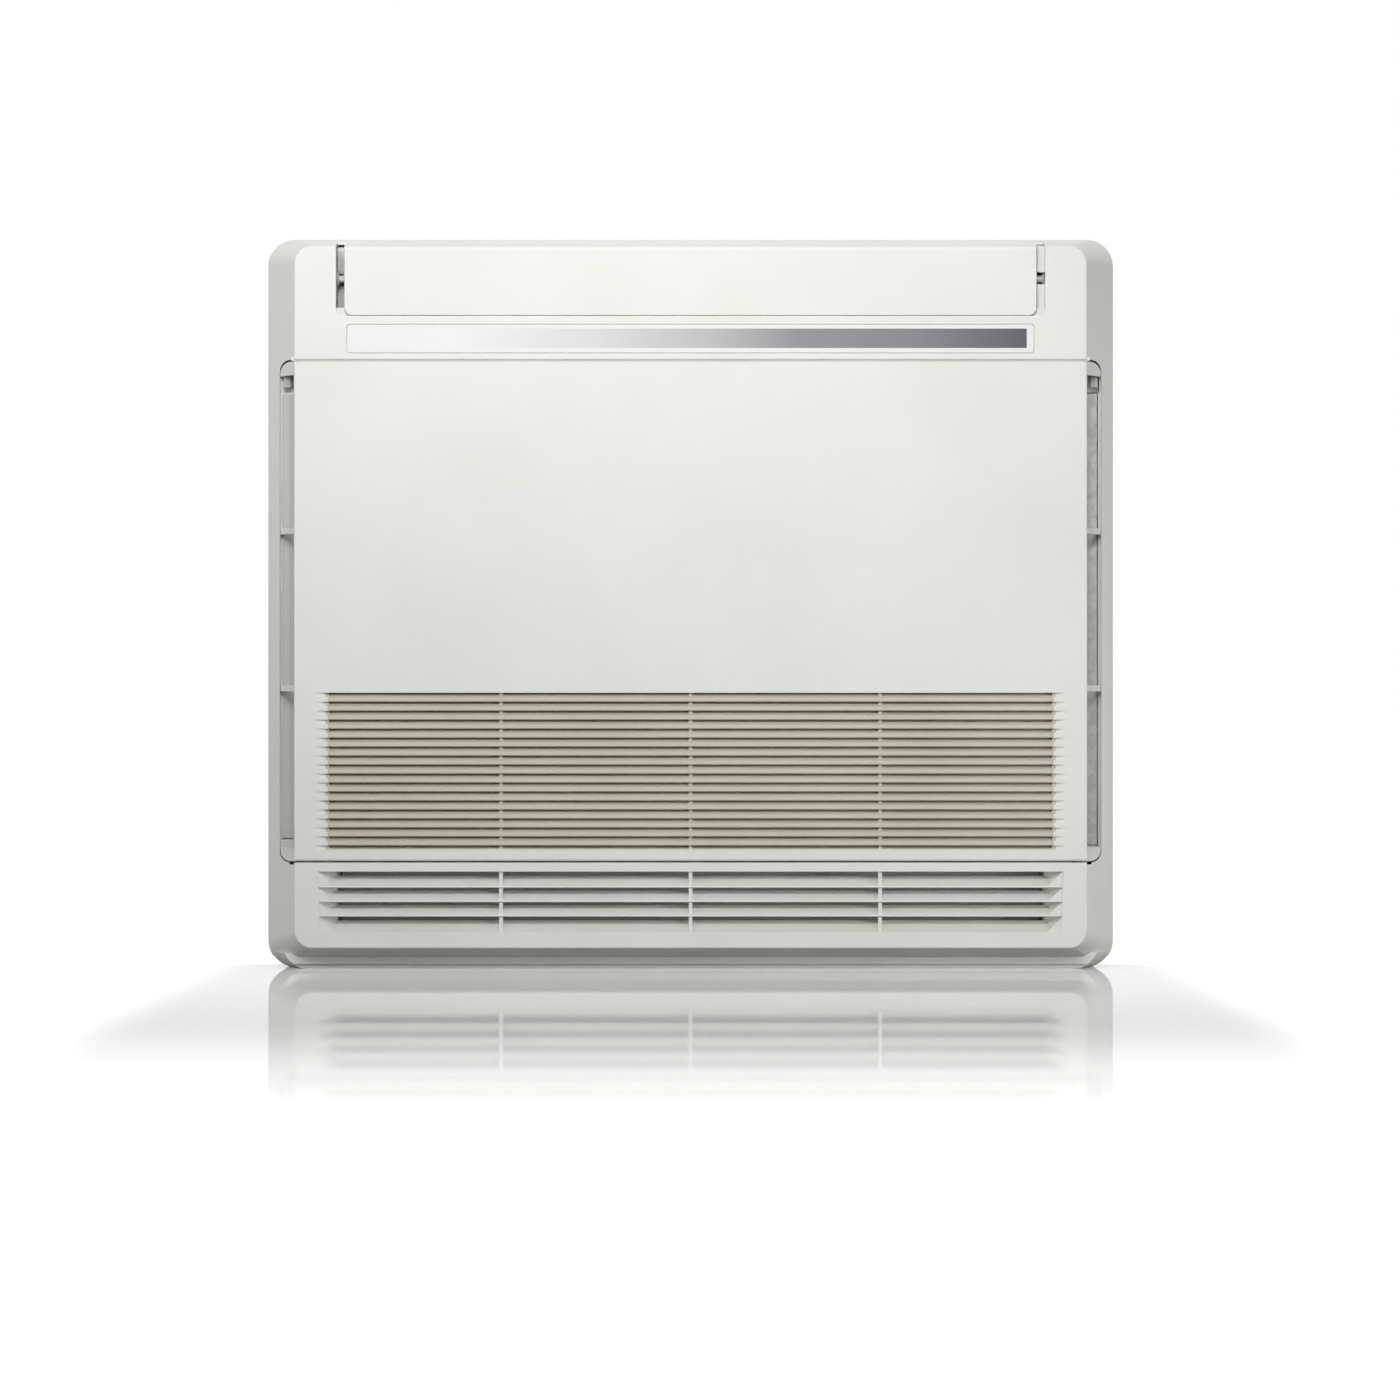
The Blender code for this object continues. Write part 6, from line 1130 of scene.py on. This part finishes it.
def lamp(name, kind, power, place, target, **settings):
    """A lamp at a place, turned to a target."""
    data = bpy.data.lights.new(name, kind)
    data.energy = power
    for key, value in settings.items():
        setattr(data, key, value)
    obj = bpy.data.objects.new(name, data)
    obj.location = place
    obj.rotation_euler = (Vector(target) - Vector(place)).to_track_quat("-Z", "Y").to_euler()
    bpy.context.scene.collection.objects.link(obj)


# A softbox in front above gives the face its fall from top to bottom. The fills lighten the foot,
# the slanted sides and the back, and a weak sun behind draws a soft shadow forwards.
for name, power, place, target, width, height, spread in (
    ("front_softbox", 4.3, (-0.15, -2.0, 1.25), (-0.05, -0.1, 0.72), 1.2, 0.5, 62),
    ("right_fill", 0.4, (1.15, -1.1, 0.12), (0.35, -0.1, 0.05), 0.5, 0.3, 50),
    ("left_fill", 0.5, (-1.5, -0.9, 0.75), (-0.34, -0.08, 0.40), 0.4, 0.9, 60),
    ("right_side_fill", 0.22, (1.5, -0.9, 0.60), (0.34, -0.08, 0.32), 0.4, 0.9, 60),
    ("back_fill", 0.9, (0.0, 1.25, 0.30), (0.0, 0.1, 0.30), 0.3, 0.3, 60),
):
    lamp(
        name, "AREA", power, place, target,
        shape="RECTANGLE", size=width, size_y=height, spread=radians(spread),
    )
lamp("rear_lamp", "SUN", 0.05, (0.0, 2.0, 1.1), (0.0, 0.0, 0.0), angle=radians(9))

# The world is white to the camera and in reflections, and weaker as a source of light.
WORLD_LIGHT = 0.40
bpy.context.scene.view_settings.view_transform = "Standard"
world = bpy.data.worlds.new("studio")
bpy.context.scene.world = world
world.use_nodes = True
tree = world.node_tree
paths = add_node(tree, "ShaderNodeLightPath").outputs
white = add_node(
    tree, "ShaderNodeMath", {"operation": "MAXIMUM"},
    {0: paths["Is Camera Ray"], 1: paths["Is Glossy Ray"]},
)
background = tree.nodes["Background"]
background.inputs["Color"].default_value = linear("FFFFFF")
strength = add_node(
    tree,
    "ShaderNodeMapRange",
    inputs={"Value": white.outputs[0], "To Min": WORLD_LIGHT, "To Max": 1.0},
)
tree.links.new(strength.outputs["Result"], background.inputs["Strength"])

# The camera looks level at the front from 5.4 m off, through a long lens, so that the slanted
# sides barely widen.
camera = bpy.data.cameras.new("camera")
camera.lens = 166
camera.sensor_width = 36
camera_object = bpy.data.objects.new("camera", camera)
camera_object.location = (0.0080, -5.545, 0.2278)
camera_object.rotation_euler = (pi / 2, 0, 0)
bpy.context.scene.collection.objects.link(camera_object)
bpy.context.scene.camera = camera_object
